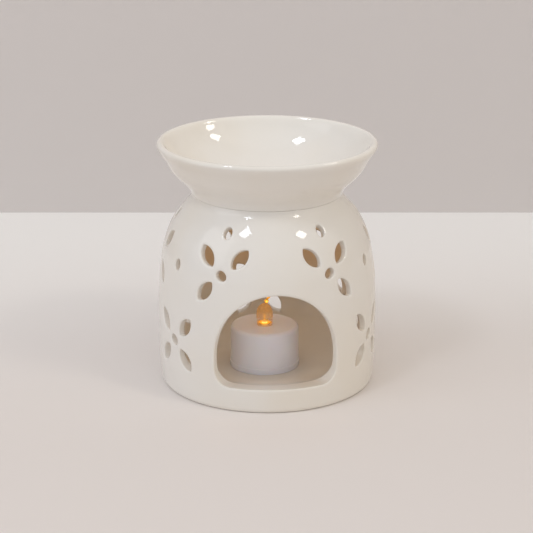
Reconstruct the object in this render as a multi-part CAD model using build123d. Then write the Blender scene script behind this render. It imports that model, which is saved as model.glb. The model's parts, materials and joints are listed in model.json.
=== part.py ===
"""Ceramic essential oil burner: a pierced pot with an arch, a lift-off dish, and a battery tealight inside.

Millimetres, +Z up. The origin is the centre of the foot ring on the table, and the arch faces -Y.
"""
from build123d import *
import math
import os

# Pot, outer skin. A station between belly and neck is a pair: its share of the way out from the neck's
# radius to the belly's, and its share of the way down from the seam to the belly
BELLY_R = 59.5
BELLY_Z = 38.0
FOOT_IN = 3.5
FOOT_ROUND = 3.2
FOOT_FLARE = 2.2
FOOT_LEAN = 0.10
NECK_LEAN = 0.25
SEAM_Z = 105.3
NECK_R = 40.6
NECK_STATION = (0.116, 0.062)
SLOPE_STATION = (0.413, 0.162)
SHOULDER_STATION = (0.709, 0.318)
FLANK_STATION = (0.878, 0.505)
LIP_ROUND = 0.6

# Pot, inner skin and underside
WALL = 4.2
FLOOR_Z = 6.8
FLOOR_R = 28.7
COVE_H = 20.0
COVE_PULL = 1.15
FOOT_RING_W = 5.2
FOOT_RECESS = 2.2
MOUTH_R = 36.0
MOUTH_DEPTH = 5.6
MOUTH_STEP = 1.5
INNER_STATIONS = 10

# Arch in the pot's front: half width is measured along the wall
ARCH_HALF = 34.3
ARCH_SPRING_Z = 29.0
ARCH_TOP_Z = 65.1
SILL_Z = 13.6
ARCH_CORNER_R = 9.0
ARCH_CORNER_STEPS = 4
ARCH_CROWN_STEPS = 16

# Pierced pattern: leaves round an oval, dots between
LEAF_L = 13.4
LEAF_W = 7.2
LEAF_TIP_R = 0.8
LEAF_OUT = 9.4
LEAF_RISE = 9.2
LEAF_TILT = 38.0
OVAL_L = 6.2
OVAL_W = 5.1
OVAL_TILT = 50.0
BACK = 180.0
UPPER_Z = 73.8
UPPER_FIRST = 30.0
UPPER_COUNT = 6
LOWER_Z = 32.3
LOWER_FIRST = 61.4
LOWER_COUNT = 5
SHOULDER_DOT_Z = 94.8
SHOULDER_DOT_L, SHOULDER_DOT_W = 6.8, 4.6
WAIST_DOT_L, WAIST_DOT_W = 6.0, 4.4
ARCH_MARGIN = 3.0
CUT_REACH = 9.0

# Dish
DISH_R = 59.0
RIM_Z = 133.6
DISH_WALL = 4.0
DISH_NECK_R = 41.0
DISH_FLARE_GAIN, DISH_FLARE_RISE = 3.6, 6.3
DISH_HIP_GAIN, DISH_HIP_RISE = 10.7, 13.6
DISH_SIDE_IN, DISH_SIDE_DROP = 3.1, 7.4
DISH_NECK_LEAN, DISH_RIM_LEAN = 0.15, 0.22
DISH_UNDER_DROP = 0.6
DISH_FLOOR_T = 5.4
DISH_FLOOR_R = 20.0
BOWL_EDGE_SLOPE = 46.0
BOWL_SIDE_IN, BOWL_SIDE_DROP = 6.0, 3.9
BOWL_TURN_IN, BOWL_TURN_RISE = 13.0, 10.7
BOWL_HOLLOW_IN, BOWL_HOLLOW_RISE = 23.0, 3.7
SPIGOT_CLEARANCE = 0.6
SPIGOT_H = 3.4
SPIGOT_W = 3.4
SPIGOT_BEVEL = 0.8

# Tealight, placed on the pot's floor; its own heights start at its foot
TEA_X, TEA_Y = -1.5, -1.0
TEA_R = 19.1
TEA_TOP_R = 18.7
TEA_H = 23.1
TEA_WALL = 1.2
TEA_EDGE_R = 2.0
TEA_DISHING = 0.3
TEA_BAND_H = 3.0
TEA_BAND_PROUD = 0.25
FIT = 0.1
RUN = 0.3

# Flame lens. Its egg's stations are shares of its body's height and of its foot's radius
FLAME_FOOT_R = 3.9
FLAME_BODY_H = 13.6
FLAME_EGG = ((0.0, 1.0), (0.30, 1.14), (0.58, 1.19), (0.80, 1.05), (0.94, 0.72), (1.04, 0.30))
FLAME_NECK_R = 1.64
FLAME_TIP_H = 3.2
FLAME_TIP_R = 0.6
FLAME_TIP_MIDDLE_R = 0.95
FLAME_LEAN = 2.1
FLAME_WALL = 0.9
FLANGE_R = 5.7
FLANGE_T = 0.8

# Lamp
LED_R = 1.5
LED_BODY_H = 3.4
LED_FLANGE_R = 1.95
LED_FLANGE_T = 1.0
LEAD_W = 0.5
LEAD_PITCH = 2.54

# Cell and its door
CELL_R = 10.0
CELL_H = 3.2
CELL_GASKET = 0.45
CELL_CAP_T = 0.3
CELL_GAP = 0.2
BATTERY_Y = -3.0
PLATE_Z = 1.0
PLATE_T = 1.4
DOOR_R = 11.6
LUG_R = 12.6
LUG_W = 3.2
LUG_T = 0.7
DOOR_TURN = 30.0
COIN_SLOT_L, COIN_SLOT_W, COIN_SLOT_DEPTH = 14.0, 1.7, 0.7
LEDGE_W = 0.5

# Lamp carrier
DECK_Z = 7.2
DECK_T = 1.0
DECK_GAP = 1.0
RING_W = 0.8
SKIRT_W = 1.1
POST_R = 3.2
POST_BORE_R = 1.7
CUP_WALL = 0.9

# Contacts and switch
STRIP_T = 0.3
STRIP_W = 3.0
FINGER_BACK = 1.5
FINGER_FORE = 0.5
FINGER_KNEE = 5.0
FINGER_BEND = 0.2
WIPER_INSET = 0.5
WIPER_W = 1.6
SWITCH_Y = 13.7
SWITCH_TRAVEL = 2.2
KNOB_L = 3.0
KNOB_W = 2.8
KNOB_PROUD = 0.5
KNOB_FLANGE = 1.2
KNOB_FLANGE_T = 0.8
RIB_PITCH = 0.9
RIB_W = 0.4

FOOT_R = BELLY_R - FOOT_IN
CELL_Z = PLATE_Z + PLATE_T + CELL_GAP
CELL_TOP_Z = CELL_Z + CELL_H
LUG_Z = PLATE_Z + PLATE_T + RUN
RING_FOOT_Z = LUG_Z + LUG_T + RUN
SKIRT_IN_R = LUG_R + RUN
SKIRT_OUT_R = SKIRT_IN_R + SKIRT_W
STRIP_Z = DECK_Z - STRIP_T
LENS_Z = TEA_H - TEA_DISHING - TEA_WALL - FLANGE_T
LAMP_Z = LENS_Z - LED_FLANGE_T - FIT
PLATE_R = TEA_R - TEA_WALL - FIT
LEDGE_R = PLATE_R - LEDGE_W
KNOB_Z = PLATE_Z - KNOB_PROUD
FINGER_X = STRIP_W / 2 + 2 * FIT


def point(r, z):
    """A point of a profile, in the plane that is revolved."""
    return Vector(r, 0, z)


def revolved(*edges):
    """Revolves a closed chain of profile edges about the vertical axis."""
    return revolve(make_face(Wire(edges)), Axis.Z, 360)


def ring(r_in, r_out, z_low, z_high):
    """A plain ring, or a disc where r_in is 0."""
    body = Pos(0, 0, z_low) * extrude(Circle(r_out), z_high - z_low)
    if r_in > 0:
        body -= Pos(0, 0, z_low) * extrude(Circle(r_in), z_high - z_low)
    return body


def block(x, y, z_low, size_x, size_y, height):
    """A box centred on x and y that stands on z_low."""
    return Pos(x, y, z_low + height / 2) * Box(size_x, size_y, height)


def pot_station(shares):
    """A station of the pot's skin between its neck and its belly."""
    out, down = shares
    return point(NECK_R + out * (BELLY_R - NECK_R), SEAM_Z - down * (SEAM_Z - BELLY_Z))


def pot_curve():
    """The pot's outer skin, from the top of the foot's round edge to the neck."""
    stations = [
        point(FOOT_R + FOOT_FLARE, FOOT_ROUND),
        point(BELLY_R, BELLY_Z),
        pot_station(FLANK_STATION),
        pot_station(SHOULDER_STATION),
        pot_station(SLOPE_STATION),
        pot_station(NECK_STATION),
        point(NECK_R, SEAM_Z - LIP_ROUND),
    ]
    return Spline(*stations, tangents=[Vector(FOOT_LEAN, 0, 1), Vector(-NECK_LEAN, 0, 1)])


SKIN = pot_curve()


def skin_at(z):
    """The share of the skin's length at which it reaches height z."""
    low, high = 0.0, 1.0
    for _ in range(40):
        middle = (low + high) / 2
        if (SKIN @ middle).Z < z:
            low = middle
        else:
            high = middle
    return (low + high) / 2


def inside(share):
    """The point of the inner skin behind a share of the outer skin."""
    along = SKIN % share
    return SKIN @ share - WALL * Vector(along.Z, 0, -along.X)


def pot_blank():
    """The pot before it is pierced."""
    foot_corner = SKIN @ 0
    foot_edge = point(FOOT_R, 0)
    cove_share = skin_at(FLOOR_Z + COVE_H)
    mouth_share = skin_at(SEAM_Z - MOUTH_DEPTH + MOUTH_STEP)
    step = (cove_share - mouth_share) / (INNER_STATIONS - 1)
    inner = [inside(mouth_share + step * i) for i in range(INNER_STATIONS)]
    cove = inner[-1]
    ring_in = FOOT_R - FOOT_RING_W
    return revolved(
        Line(point(0, FOOT_RECESS), point(ring_in - FOOT_RECESS, FOOT_RECESS)),
        Line(point(ring_in - FOOT_RECESS, FOOT_RECESS), point(ring_in, 0)),
        Line(point(ring_in, 0), foot_edge),
        TangentArc(foot_edge, foot_corner, tangent=Vector(1, 0, 0)),
        SKIN,
        TangentArc(SKIN @ 1, point(NECK_R - LIP_ROUND, SEAM_Z), tangent=Vector(0, 0, 1)),
        Line(point(NECK_R - LIP_ROUND, SEAM_Z), point(MOUTH_R, SEAM_Z)),
        Line(point(MOUTH_R, SEAM_Z), point(MOUTH_R, SEAM_Z - MOUTH_DEPTH)),
        Line(point(MOUTH_R, SEAM_Z - MOUTH_DEPTH), inner[0]),
        Spline(*inner),
        Spline(cove, point(FLOOR_R, FLOOR_Z), tangents=[Vector(0, 0, -1), Vector(-1, 0, 0)],
               tangent_scalars=[COVE_PULL, COVE_PULL]),
        Line(point(FLOOR_R, FLOOR_Z), point(0, FLOOR_Z)),
        Line(point(0, FLOOR_Z), point(0, FOOT_RECESS)),
    )


def arch_half_width(z):
    """Half the arch's width along the wall at height z, above its spring line."""
    rise = (z - ARCH_SPRING_Z) / (ARCH_TOP_Z - ARCH_SPRING_Z)
    return ARCH_HALF * math.sqrt(max(0.0, 1 - rise ** 2))


def quarter_turns(count, steps):
    """The angles of an arc of count quarter turns, in radians."""
    return [math.pi / 2 * count * i / steps for i in range(steps + 1)]


def arch_wire(depth):
    """The arch's outline on the plane at Y = -depth: its sides stay radial."""
    corner_run = ARCH_HALF - ARCH_CORNER_R
    corner_z = SILL_Z + ARCH_CORNER_R
    crown_h = ARCH_TOP_Z - ARCH_SPRING_Z

    def on_plane(run, z):
        return Vector(depth * math.tan(run / BELLY_R), -depth, z)

    def corner(side):
        turns = quarter_turns(1, ARCH_CORNER_STEPS)
        runs = [corner_run + ARCH_CORNER_R * math.sin(a) for a in turns]
        return [on_plane(side * run, corner_z - ARCH_CORNER_R * math.cos(a)) for run, a in zip(runs, turns)]

    right, left = corner(1), corner(-1)
    crown = [on_plane(ARCH_HALF * math.cos(a), ARCH_SPRING_Z + crown_h * math.sin(a))
             for a in quarter_turns(2, ARCH_CROWN_STEPS)]
    along, upright = Vector(1, 0, 0), Vector(0, 0, 1)
    return Wire([
        Line(left[0], right[0]),
        Spline(*right, tangents=[along, upright]),
        Line(right[-1], crown[0]),
        Spline(*crown, tangents=[upright, -upright]),
        Line(crown[-1], left[-1]),
        Spline(*reversed(left), tangents=[-upright, along]),
    ])


def arch_cutter():
    """The wedge that opens the arch, with every side face radial."""
    return Solid.make_loft([arch_wire(BELLY_R + CUT_REACH), arch_wire(FLOOR_R)], ruled=True)


def leaf():
    """A pointed leaf, upright, with its tips slightly rounded."""
    half_l, half_w = LEAF_L / 2, LEAF_W / 2
    left = ThreePointArc((0, -half_l), (-half_w, 0), (0, half_l))
    right = ThreePointArc((0, half_l), (half_w, 0), (0, -half_l))
    face = make_face([left, right])
    return fillet(face.vertices(), LEAF_TIP_R)


def through_wall(shape, azimuth, z, tilt):
    """A cutter with the outline of shape, square to the wall at an azimuth and height."""
    share = skin_at(z)
    along = SKIN % share
    a = math.radians(azimuth)
    r = (SKIN @ share).X
    outward = Vector(along.Z * math.sin(a), -along.Z * math.cos(a), -along.X)
    sideways = Vector(math.cos(a), math.sin(a), 0)
    place = Plane(origin=(r * math.sin(a), -r * math.cos(a), z), x_dir=sideways, z_dir=outward)
    return extrude(place * (Rot(0, 0, tilt) * shape), amount=CUT_REACH, both=True)


def azimuth_step(run, z):
    """The azimuth that a run along the wall covers at height z."""
    return math.degrees(run / (SKIN @ skin_at(z)).X)


def meets_arch(azimuth, z):
    """True where a leaf centred here would come too near the arch."""
    run = abs((azimuth + 180) % 360 - 180) * math.pi / 180 * BELLY_R
    low_z = max(ARCH_SPRING_Z, z - LEAF_L / 2)
    return z < ARCH_TOP_Z + LEAF_W / 2 and run < arch_half_width(low_z) + LEAF_W / 2 + ARCH_MARGIN


def oval_tilt(azimuth):
    """An oval's tilt: outwards at its top on both sides of the pot, and upright at the very back."""
    if math.isclose(azimuth, BACK):
        return 0
    return -OVAL_TILT if azimuth < BACK else OVAL_TILT


def motif_cutters(azimuth, z):
    """Four leaves that lean away from an oval, leaving out any that would run into the arch."""
    cutters = [through_wall(Ellipse(OVAL_W / 2, OVAL_L / 2), azimuth, z, oval_tilt(azimuth))]
    for side in (-1, 1):
        for rise in (LEAF_RISE, -LEAF_RISE):
            leaf_azimuth = azimuth + side * azimuth_step(LEAF_OUT, z + rise)
            tilt = LEAF_TILT if side * rise < 0 else -LEAF_TILT
            if not meets_arch(leaf_azimuth, z + rise):
                cutters.append(through_wall(leaf(), leaf_azimuth, z + rise, tilt))
    return cutters


def pattern_cutters():
    """Every pierced shape round the pot."""
    cutters = []
    shoulder_dot = Ellipse(SHOULDER_DOT_W / 2, SHOULDER_DOT_L / 2)
    waist_dot = Ellipse(WAIST_DOT_W / 2, WAIST_DOT_L / 2)
    upper_step = 360 / UPPER_COUNT
    for i in range(UPPER_COUNT):
        azimuth = UPPER_FIRST + i * upper_step
        cutters += motif_cutters(azimuth, UPPER_Z)
        cutters.append(through_wall(shoulder_dot, azimuth, SHOULDER_DOT_Z, 0))
    lower_step = (360 - 2 * LOWER_FIRST) / (LOWER_COUNT - 1)
    for i in range(LOWER_COUNT):
        azimuth = LOWER_FIRST + i * lower_step
        cutters += motif_cutters(azimuth, LOWER_Z)
        cutters.append(through_wall(waist_dot, azimuth, UPPER_Z, 0))
    return cutters


def burner_body():
    """The pot with its arch and its pierced pattern."""
    return pot_blank() - arch_cutter() - pattern_cutters()


def oil_dish():
    """The bowl that holds water and oil, with a ring below that centres it in the pot's mouth."""
    seat_edge = point(DISH_NECK_R - LIP_ROUND, SEAM_Z)
    rim_out = point(DISH_R, RIM_Z - DISH_WALL / 2)
    rim_top = point(DISH_R - DISH_WALL / 2, RIM_Z)
    edge = math.radians(90 + BOWL_EDGE_SLOPE)
    rim_in = point(DISH_R - DISH_WALL / 2 * (1 - math.cos(edge)), RIM_Z - DISH_WALL / 2 * (1 - math.sin(edge)))
    side = point(DISH_R - DISH_SIDE_IN, RIM_Z - DISH_SIDE_DROP)
    outside = Spline(
        point(DISH_NECK_R, SEAM_Z + LIP_ROUND),
        point(DISH_NECK_R + DISH_FLARE_GAIN, SEAM_Z + DISH_FLARE_RISE),
        point(DISH_NECK_R + DISH_HIP_GAIN, SEAM_Z + DISH_HIP_RISE),
        side,
        rim_out,
        tangents=[Vector(DISH_NECK_LEAN, 0, 1), Vector(DISH_RIM_LEAN, 0, 1)],
    )
    spigot_r = MOUTH_R - SPIGOT_CLEARANCE
    under_z = SEAM_Z - DISH_UNDER_DROP
    floor_z = under_z + DISH_FLOOR_T
    bowl = Spline(
        rim_in,
        point(DISH_R - BOWL_SIDE_IN, RIM_Z - BOWL_SIDE_DROP),
        point(DISH_R - BOWL_TURN_IN, floor_z + BOWL_TURN_RISE),
        point(DISH_R - BOWL_HOLLOW_IN, floor_z + BOWL_HOLLOW_RISE),
        point(DISH_FLOOR_R, floor_z),
        tangents=[Vector(-math.sin(edge), 0, math.cos(edge)), Vector(-1, 0, 0)],
    )
    foot_z = SEAM_Z - SPIGOT_H
    ring_in = spigot_r - SPIGOT_W
    return revolved(
        outside,
        ThreePointArc(rim_out, rim_top, rim_in),
        bowl,
        Line(point(DISH_FLOOR_R, floor_z), point(0, floor_z)),
        Line(point(0, floor_z), point(0, under_z)),
        Line(point(0, under_z), point(ring_in, under_z)),
        Line(point(ring_in, under_z), point(ring_in, foot_z)),
        Line(point(ring_in, foot_z), point(spigot_r - SPIGOT_BEVEL, foot_z)),
        Line(point(spigot_r - SPIGOT_BEVEL, foot_z), point(spigot_r, foot_z + SPIGOT_BEVEL)),
        Line(point(spigot_r, foot_z + SPIGOT_BEVEL), point(spigot_r, SEAM_Z)),
        Line(point(spigot_r, SEAM_Z), seat_edge),
        TangentArc(seat_edge, outside @ 0, tangent=Vector(1, 0, 0)),
    )


def tealight_shell():
    """The round housing: drafted side, rounded edge, dished roof with a hole, and a ledge for the plate."""
    crown_out = TEA_TOP_R - TEA_EDGE_R
    hole_r = FLAME_FOOT_R + FIT
    hole_z = TEA_H - TEA_DISHING
    inner_top_r = TEA_TOP_R - TEA_WALL
    ceiling_z = hole_z - TEA_WALL
    inward = Vector(-1, 0, 0)
    ledge_z = PLATE_Z + PLATE_T
    shoulder = point(TEA_TOP_R, TEA_H - TEA_EDGE_R)
    band_top = point(TEA_R - TEA_BAND_PROUD, TEA_BAND_H + TEA_BAND_PROUD)
    return revolved(
        Line(point(TEA_R - TEA_WALL, 0), point(TEA_R, 0)),
        Line(point(TEA_R, 0), point(TEA_R, TEA_BAND_H)),
        Line(point(TEA_R, TEA_BAND_H), band_top),
        Line(band_top, shoulder),
        TangentArc(shoulder, point(crown_out, TEA_H), tangent=Vector(0, 0, 1)),
        Spline(point(crown_out, TEA_H), point(hole_r, hole_z), tangents=[inward, inward]),
        Line(point(hole_r, hole_z), point(hole_r, ceiling_z)),
        Line(point(hole_r, ceiling_z), point(inner_top_r - TEA_EDGE_R, ceiling_z)),
        Line(point(inner_top_r - TEA_EDGE_R, ceiling_z), point(inner_top_r, ceiling_z - TEA_EDGE_R)),
        Line(point(inner_top_r, ceiling_z - TEA_EDGE_R), point(LEDGE_R, ledge_z)),
        Line(point(LEDGE_R, ledge_z), point(TEA_R - TEA_WALL, ledge_z)),
        Line(point(TEA_R - TEA_WALL, ledge_z), point(TEA_R - TEA_WALL, 0)),
    )


def flame_egg(roof_z, foot_z, wall):
    """The turned egg of the flame, drawn in by a wall, with a straight neck down to foot_z."""
    foot_r = FLAME_FOOT_R - wall
    body_h = FLAME_BODY_H - wall
    stations = [point(foot_r * grow, roof_z + body_h * share) for share, grow in FLAME_EGG]
    top = stations[-1]
    neck = point(foot_r, foot_z)
    return revolved(
        Line(neck, stations[0]),
        Spline(*stations),
        Line(top, point(0, top.Z)),
        Line(point(0, top.Z), point(0, foot_z)),
        Line(point(0, foot_z), neck),
    )


def flame_lens():
    """The hollow flame, an egg with a leaning tip, and the flange that the housing's roof holds down."""
    roof_z = LENS_Z + FLANGE_T + TEA_WALL
    neck_z = roof_z + FLAME_BODY_H
    top_z = neck_z + FLAME_TIP_H
    tip = loft([
        Pos(0, 0, neck_z) * Circle(FLAME_NECK_R),
        Pos(FLAME_LEAN / 2, 0, (neck_z + top_z) / 2) * Circle(FLAME_TIP_MIDDLE_R),
        Pos(FLAME_LEAN, 0, top_z) * Circle(FLAME_TIP_R),
    ])
    flame = flame_egg(roof_z, LENS_Z, 0) + tip + Pos(FLAME_LEAN, 0, top_z) * Sphere(FLAME_TIP_R)
    return flame + ring(0, FLANGE_R, LENS_Z, LENS_Z + FLANGE_T) - flame_egg(roof_z, LENS_Z, FLAME_WALL)


def led_lamp():
    """A round lamp with a collar and a domed end."""
    body_z = LAMP_Z + LED_FLANGE_T
    body = ring(0, LED_R, body_z, body_z + LED_BODY_H)
    dome = Pos(0, 0, body_z + LED_BODY_H) * Sphere(LED_R)
    return ring(0, LED_FLANGE_R, LAMP_Z, body_z) + body + dome


def lead_along(points):
    """A square wire through points, with mitred corners."""
    pieces = []
    for start, end in zip(points, points[1:]):
        low = [min(a, b) - LEAD_W / 2 for a, b in zip(start, end)]
        size = [abs(a - b) + LEAD_W for a, b in zip(start, end)]
        centre = [c + s / 2 for c, s in zip(low, size)]
        pieces.append(Pos(*centre) * Box(*size))
    wire = pieces[0]
    for piece in pieces[1:]:
        wire += piece
    return wire


def led_anode_lead():
    """The wire from the lamp down to the strip on the deck that leads to the cell's can."""
    x = LEAD_PITCH / 2
    top = LAMP_Z - LEAD_W / 2
    low = DECK_Z + DECK_T + STRIP_T + LEAD_W / 2
    return lead_along([(x, 0, top), (x, 0, low), (POST_R + STRIP_W / 2, 0, low)])


def led_cathode_lead():
    """The wire from the lamp along the deck and through it, to end over the switch."""
    x = -LEAD_PITCH / 2
    top = LAMP_Z - LEAD_W / 2
    deck = DECK_Z + DECK_T + LEAD_W / 2
    end = STRIP_Z + LEAD_W / 2
    return lead_along([(x, 0, top), (x, 0, deck), (x, SWITCH_Y, deck), (x, SWITCH_Y, end)])


def lead_slot(x, y_low, y_high, z_low, z_high):
    """Room for a wire, with its fit clearance."""
    width = LEAD_W + 2 * FIT
    return block(x, (y_low + y_high) / 2, z_low, width, y_high - y_low + width, z_high - z_low)


def lamp_carrier():
    """The inner frame: deck, cell ring, skirt down to the plate, and the post with the lamp's cup."""
    deck_top = DECK_Z + DECK_T
    deck_r = TEA_TOP_R - TEA_WALL - DECK_GAP
    cell_ring = Pos(0, BATTERY_Y, 0) * ring(CELL_R + RUN, CELL_R + RUN + RING_W, RING_FOOT_Z, DECK_Z)
    skirt = Pos(0, BATTERY_Y, 0) * ring(SKIRT_IN_R, SKIRT_OUT_R, PLATE_Z + PLATE_T, DECK_Z)
    cup_z = LAMP_Z - CUP_WALL
    lead_w = LEAD_W + 2 * FIT
    strip_w = STRIP_W + 2 * FIT
    half = LEAD_PITCH / 2
    channel_y = (BATTERY_Y + SWITCH_Y + SKIRT_IN_R) / 2
    carrier = ring(0, deck_r, DECK_Z, deck_top) + cell_ring + skirt
    carrier += ring(POST_BORE_R, POST_R, deck_top, cup_z) + ring(POST_BORE_R, FLANGE_R, cup_z, LENS_Z)
    carrier -= ring(0, LED_FLANGE_R + FIT, LAMP_Z, LENS_Z)
    carrier -= lead_slot(-half, 0, POST_R, deck_top, deck_top + LEAD_W + FIT)
    carrier -= lead_slot(-half, SWITCH_Y, SWITCH_Y, DECK_Z, deck_top)
    carrier -= block((POST_R + POST_BORE_R) / 2, 0, deck_top, POST_R, lead_w, STRIP_T + LEAD_W + FIT)
    carrier -= block(CELL_R + RING_W, BATTERY_Y, RING_FOOT_Z, 2 * RING_W, strip_w, deck_top - RING_FOOT_Z)
    carrier -= block(FINGER_X, channel_y, STRIP_Z - FIT, strip_w, SWITCH_Y - BATTERY_Y, STRIP_T + FIT)
    return carrier


def positive_contact():
    """The strip that touches the cell's can, rises through the deck and runs in to the lamp's wire."""
    deck_top = DECK_Z + DECK_T
    strip_top = deck_top + STRIP_T
    outer_x = CELL_R + STRIP_T
    inner_x = POST_R + FIT
    upright = block(CELL_R + STRIP_T / 2, BATTERY_Y, RING_FOOT_Z, STRIP_T, STRIP_W, strip_top - RING_FOOT_Z)
    arm = block((outer_x + inner_x) / 2, BATTERY_Y, deck_top, outer_x - inner_x, STRIP_W, STRIP_T)
    foot = block(inner_x + STRIP_W / 2, BATTERY_Y / 2, deck_top, STRIP_W, STRIP_W - BATTERY_Y, STRIP_T)
    return upright + arm + foot


def negative_contact():
    """The spring finger under the deck: it presses on the cell's cap and runs out over the switch."""
    foot_y = BATTERY_Y - FINGER_BACK
    heel_y = BATTERY_Y + FINGER_FORE
    knee_y = BATTERY_Y + FINGER_KNEE
    end_y = SWITCH_Y + KNOB_W / 2

    def finger_side(bend):
        return [(foot_y, CELL_TOP_Z), (heel_y - bend, CELL_TOP_Z), (knee_y - bend, STRIP_Z), (end_y, STRIP_Z)]

    side = finger_side(0) + [(y, z + STRIP_T) for y, z in reversed(finger_side(FINGER_BEND))]
    outline = make_face(Polyline(*[(0, y, z) for y, z in side], close=True))
    return Pos(FINGER_X - STRIP_W / 2, 0, 0) * extrude(outline, amount=STRIP_W, dir=(1, 0, 0))


def cell_can():
    """The cell's outer can, open at the top."""
    return ring(0, CELL_R, CELL_Z, CELL_TOP_Z - CELL_GASKET) - ring(
        0, CELL_R - CELL_GASKET, CELL_Z + CELL_CAP_T, CELL_TOP_Z - CELL_GASKET)


def cell_cap():
    """The cell's upper cap, closed over its filling."""
    inner = CELL_R - 2 * CELL_GASKET
    body = ring(0, inner, CELL_Z + CELL_CAP_T + CELL_GASKET, CELL_TOP_Z)
    return chamfer(body.faces().sort_by(Axis.Z)[-1].edges(), CELL_CAP_T)


def cell_gasket():
    """The insulating cup between the cell's can and its cap."""
    outer = CELL_R - CELL_GASKET
    return ring(0, outer, CELL_Z + CELL_CAP_T, CELL_TOP_Z - CELL_GASKET / 2) - ring(
        0, outer - CELL_GASKET, CELL_Z + CELL_CAP_T + CELL_GASKET, CELL_TOP_Z)


def door_lug(radius, width, z_low, height):
    """A pair of opposite tabs on the door's axis, along X."""
    return block(0, 0, z_low, 2 * radius, width, height)


def base_plate():
    """The bottom plate with the door's keyed hole and the switch's slot."""
    top_z = PLATE_Z + PLATE_T
    plate = ring(0, PLATE_R, PLATE_Z, top_z)
    hole = ring(0, DOOR_R + RUN, PLATE_Z, top_z)
    notch = Rot(0, 0, DOOR_TURN) * door_lug(LUG_R + RUN, LUG_W + 2 * RUN, PLATE_Z, PLATE_T)
    plate -= Pos(0, BATTERY_Y, 0) * (hole + notch)
    slot_l = KNOB_L + SWITCH_TRAVEL + 2 * RUN
    plate -= block(-SWITCH_TRAVEL / 2, SWITCH_Y, PLATE_Z, slot_l, KNOB_W + 2 * RUN, PLATE_T)
    return plate


def battery_door():
    """The round door with a coin slot below and two lugs above that lock over the plate."""
    top_z = PLATE_Z + PLATE_T
    door = ring(0, DOOR_R, PLATE_Z, top_z)
    door -= block(0, 0, PLATE_Z, COIN_SLOT_L, COIN_SLOT_W, COIN_SLOT_DEPTH)
    lugs = door_lug(LUG_R, LUG_W, LUG_Z, LUG_T) + door_lug(DOOR_R, LUG_W, top_z, RUN)
    clear = ring(0, CELL_R + RUN, top_z, LUG_Z + LUG_T)
    lugs = (lugs & ring(0, LUG_R, top_z, LUG_Z + LUG_T)) - clear
    return Pos(0, BATTERY_Y, 0) * (door + lugs)


def switch_knob():
    """The sliding knob: ribbed below, with a flange above the plate."""
    top_z = PLATE_Z + PLATE_T + RUN
    flange_l = KNOB_L + 2 * KNOB_FLANGE
    knob = block(0, SWITCH_Y, KNOB_Z, KNOB_L, KNOB_W, top_z - KNOB_Z)
    knob += block(0, SWITCH_Y, top_z, flange_l, KNOB_W + KNOB_FLANGE, KNOB_FLANGE_T)
    for i in (-1, 0, 1):
        knob -= block(i * RIB_PITCH, SWITCH_Y, KNOB_Z, RIB_W, KNOB_W, RIB_W)
    return knob


def switch_wiper():
    """The sprung bridge on the knob that joins the finger to the lamp's wire."""
    base_z = PLATE_Z + PLATE_T + RUN + KNOB_FLANGE_T
    length = KNOB_L + 2 * (KNOB_FLANGE - WIPER_INSET)
    top_z = STRIP_Z - FIT
    wiper = block(0, SWITCH_Y, base_z, length, WIPER_W, STRIP_T)
    wiper += block(0, SWITCH_Y, top_z - STRIP_T, length, WIPER_W, STRIP_T)
    wiper += block((length - STRIP_T) / 2, SWITCH_Y, base_z, STRIP_T, WIPER_W, top_z - base_z)
    return wiper


def write(shape, name, place=Pos(0, 0, 0)):
    """Writes one node's solid."""
    export_step(place * shape, f"parts/{name}.step")


def main():
    """Builds and writes every node."""
    os.makedirs("parts", exist_ok=True)
    write(burner_body(), "burner_body")
    write(oil_dish(), "oil_dish")
    on_floor = Pos(TEA_X, TEA_Y, FLOOR_Z)
    cell_place = on_floor * Pos(0, BATTERY_Y, 0)
    write(tealight_shell(), "tealight_shell", on_floor)
    write(flame_lens(), "flame_lens", on_floor)
    write(led_lamp(), "led_lamp", on_floor)
    write(led_anode_lead(), "led_anode_lead", on_floor)
    write(led_cathode_lead(), "led_cathode_lead", on_floor)
    write(lamp_carrier(), "lamp_carrier", on_floor)
    write(positive_contact(), "positive_contact", on_floor)
    write(negative_contact(), "negative_contact", on_floor)
    write(cell_can(), "cell_can", cell_place)
    write(cell_cap(), "cell_cap", cell_place)
    write(cell_gasket(), "cell_gasket", cell_place)
    write(base_plate(), "base_plate", on_floor)
    write(battery_door(), "battery_door", on_floor)
    write(switch_knob(), "switch_knob", on_floor)
    write(switch_wiper(), "switch_wiper", on_floor)


main()
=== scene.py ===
"""Ceramic oil burner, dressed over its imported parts: pierced pot, lift-off dish and lit electric tealight.

Sizes are in millimetres until a mesh is finished. Finished meshes are in metres, in the frame's own place:
+Z up, the arch faces -Y, and the foot stands on z = 0. A field that ends in steps is the number of flats
that a curve is drawn with.
"""

import json
import logging
import math
from contextlib import contextmanager
from dataclasses import dataclass, field
from enum import Enum
from typing import Any, Iterator, Sequence

import bpy
import numpy as np
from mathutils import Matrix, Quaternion, Vector


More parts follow.
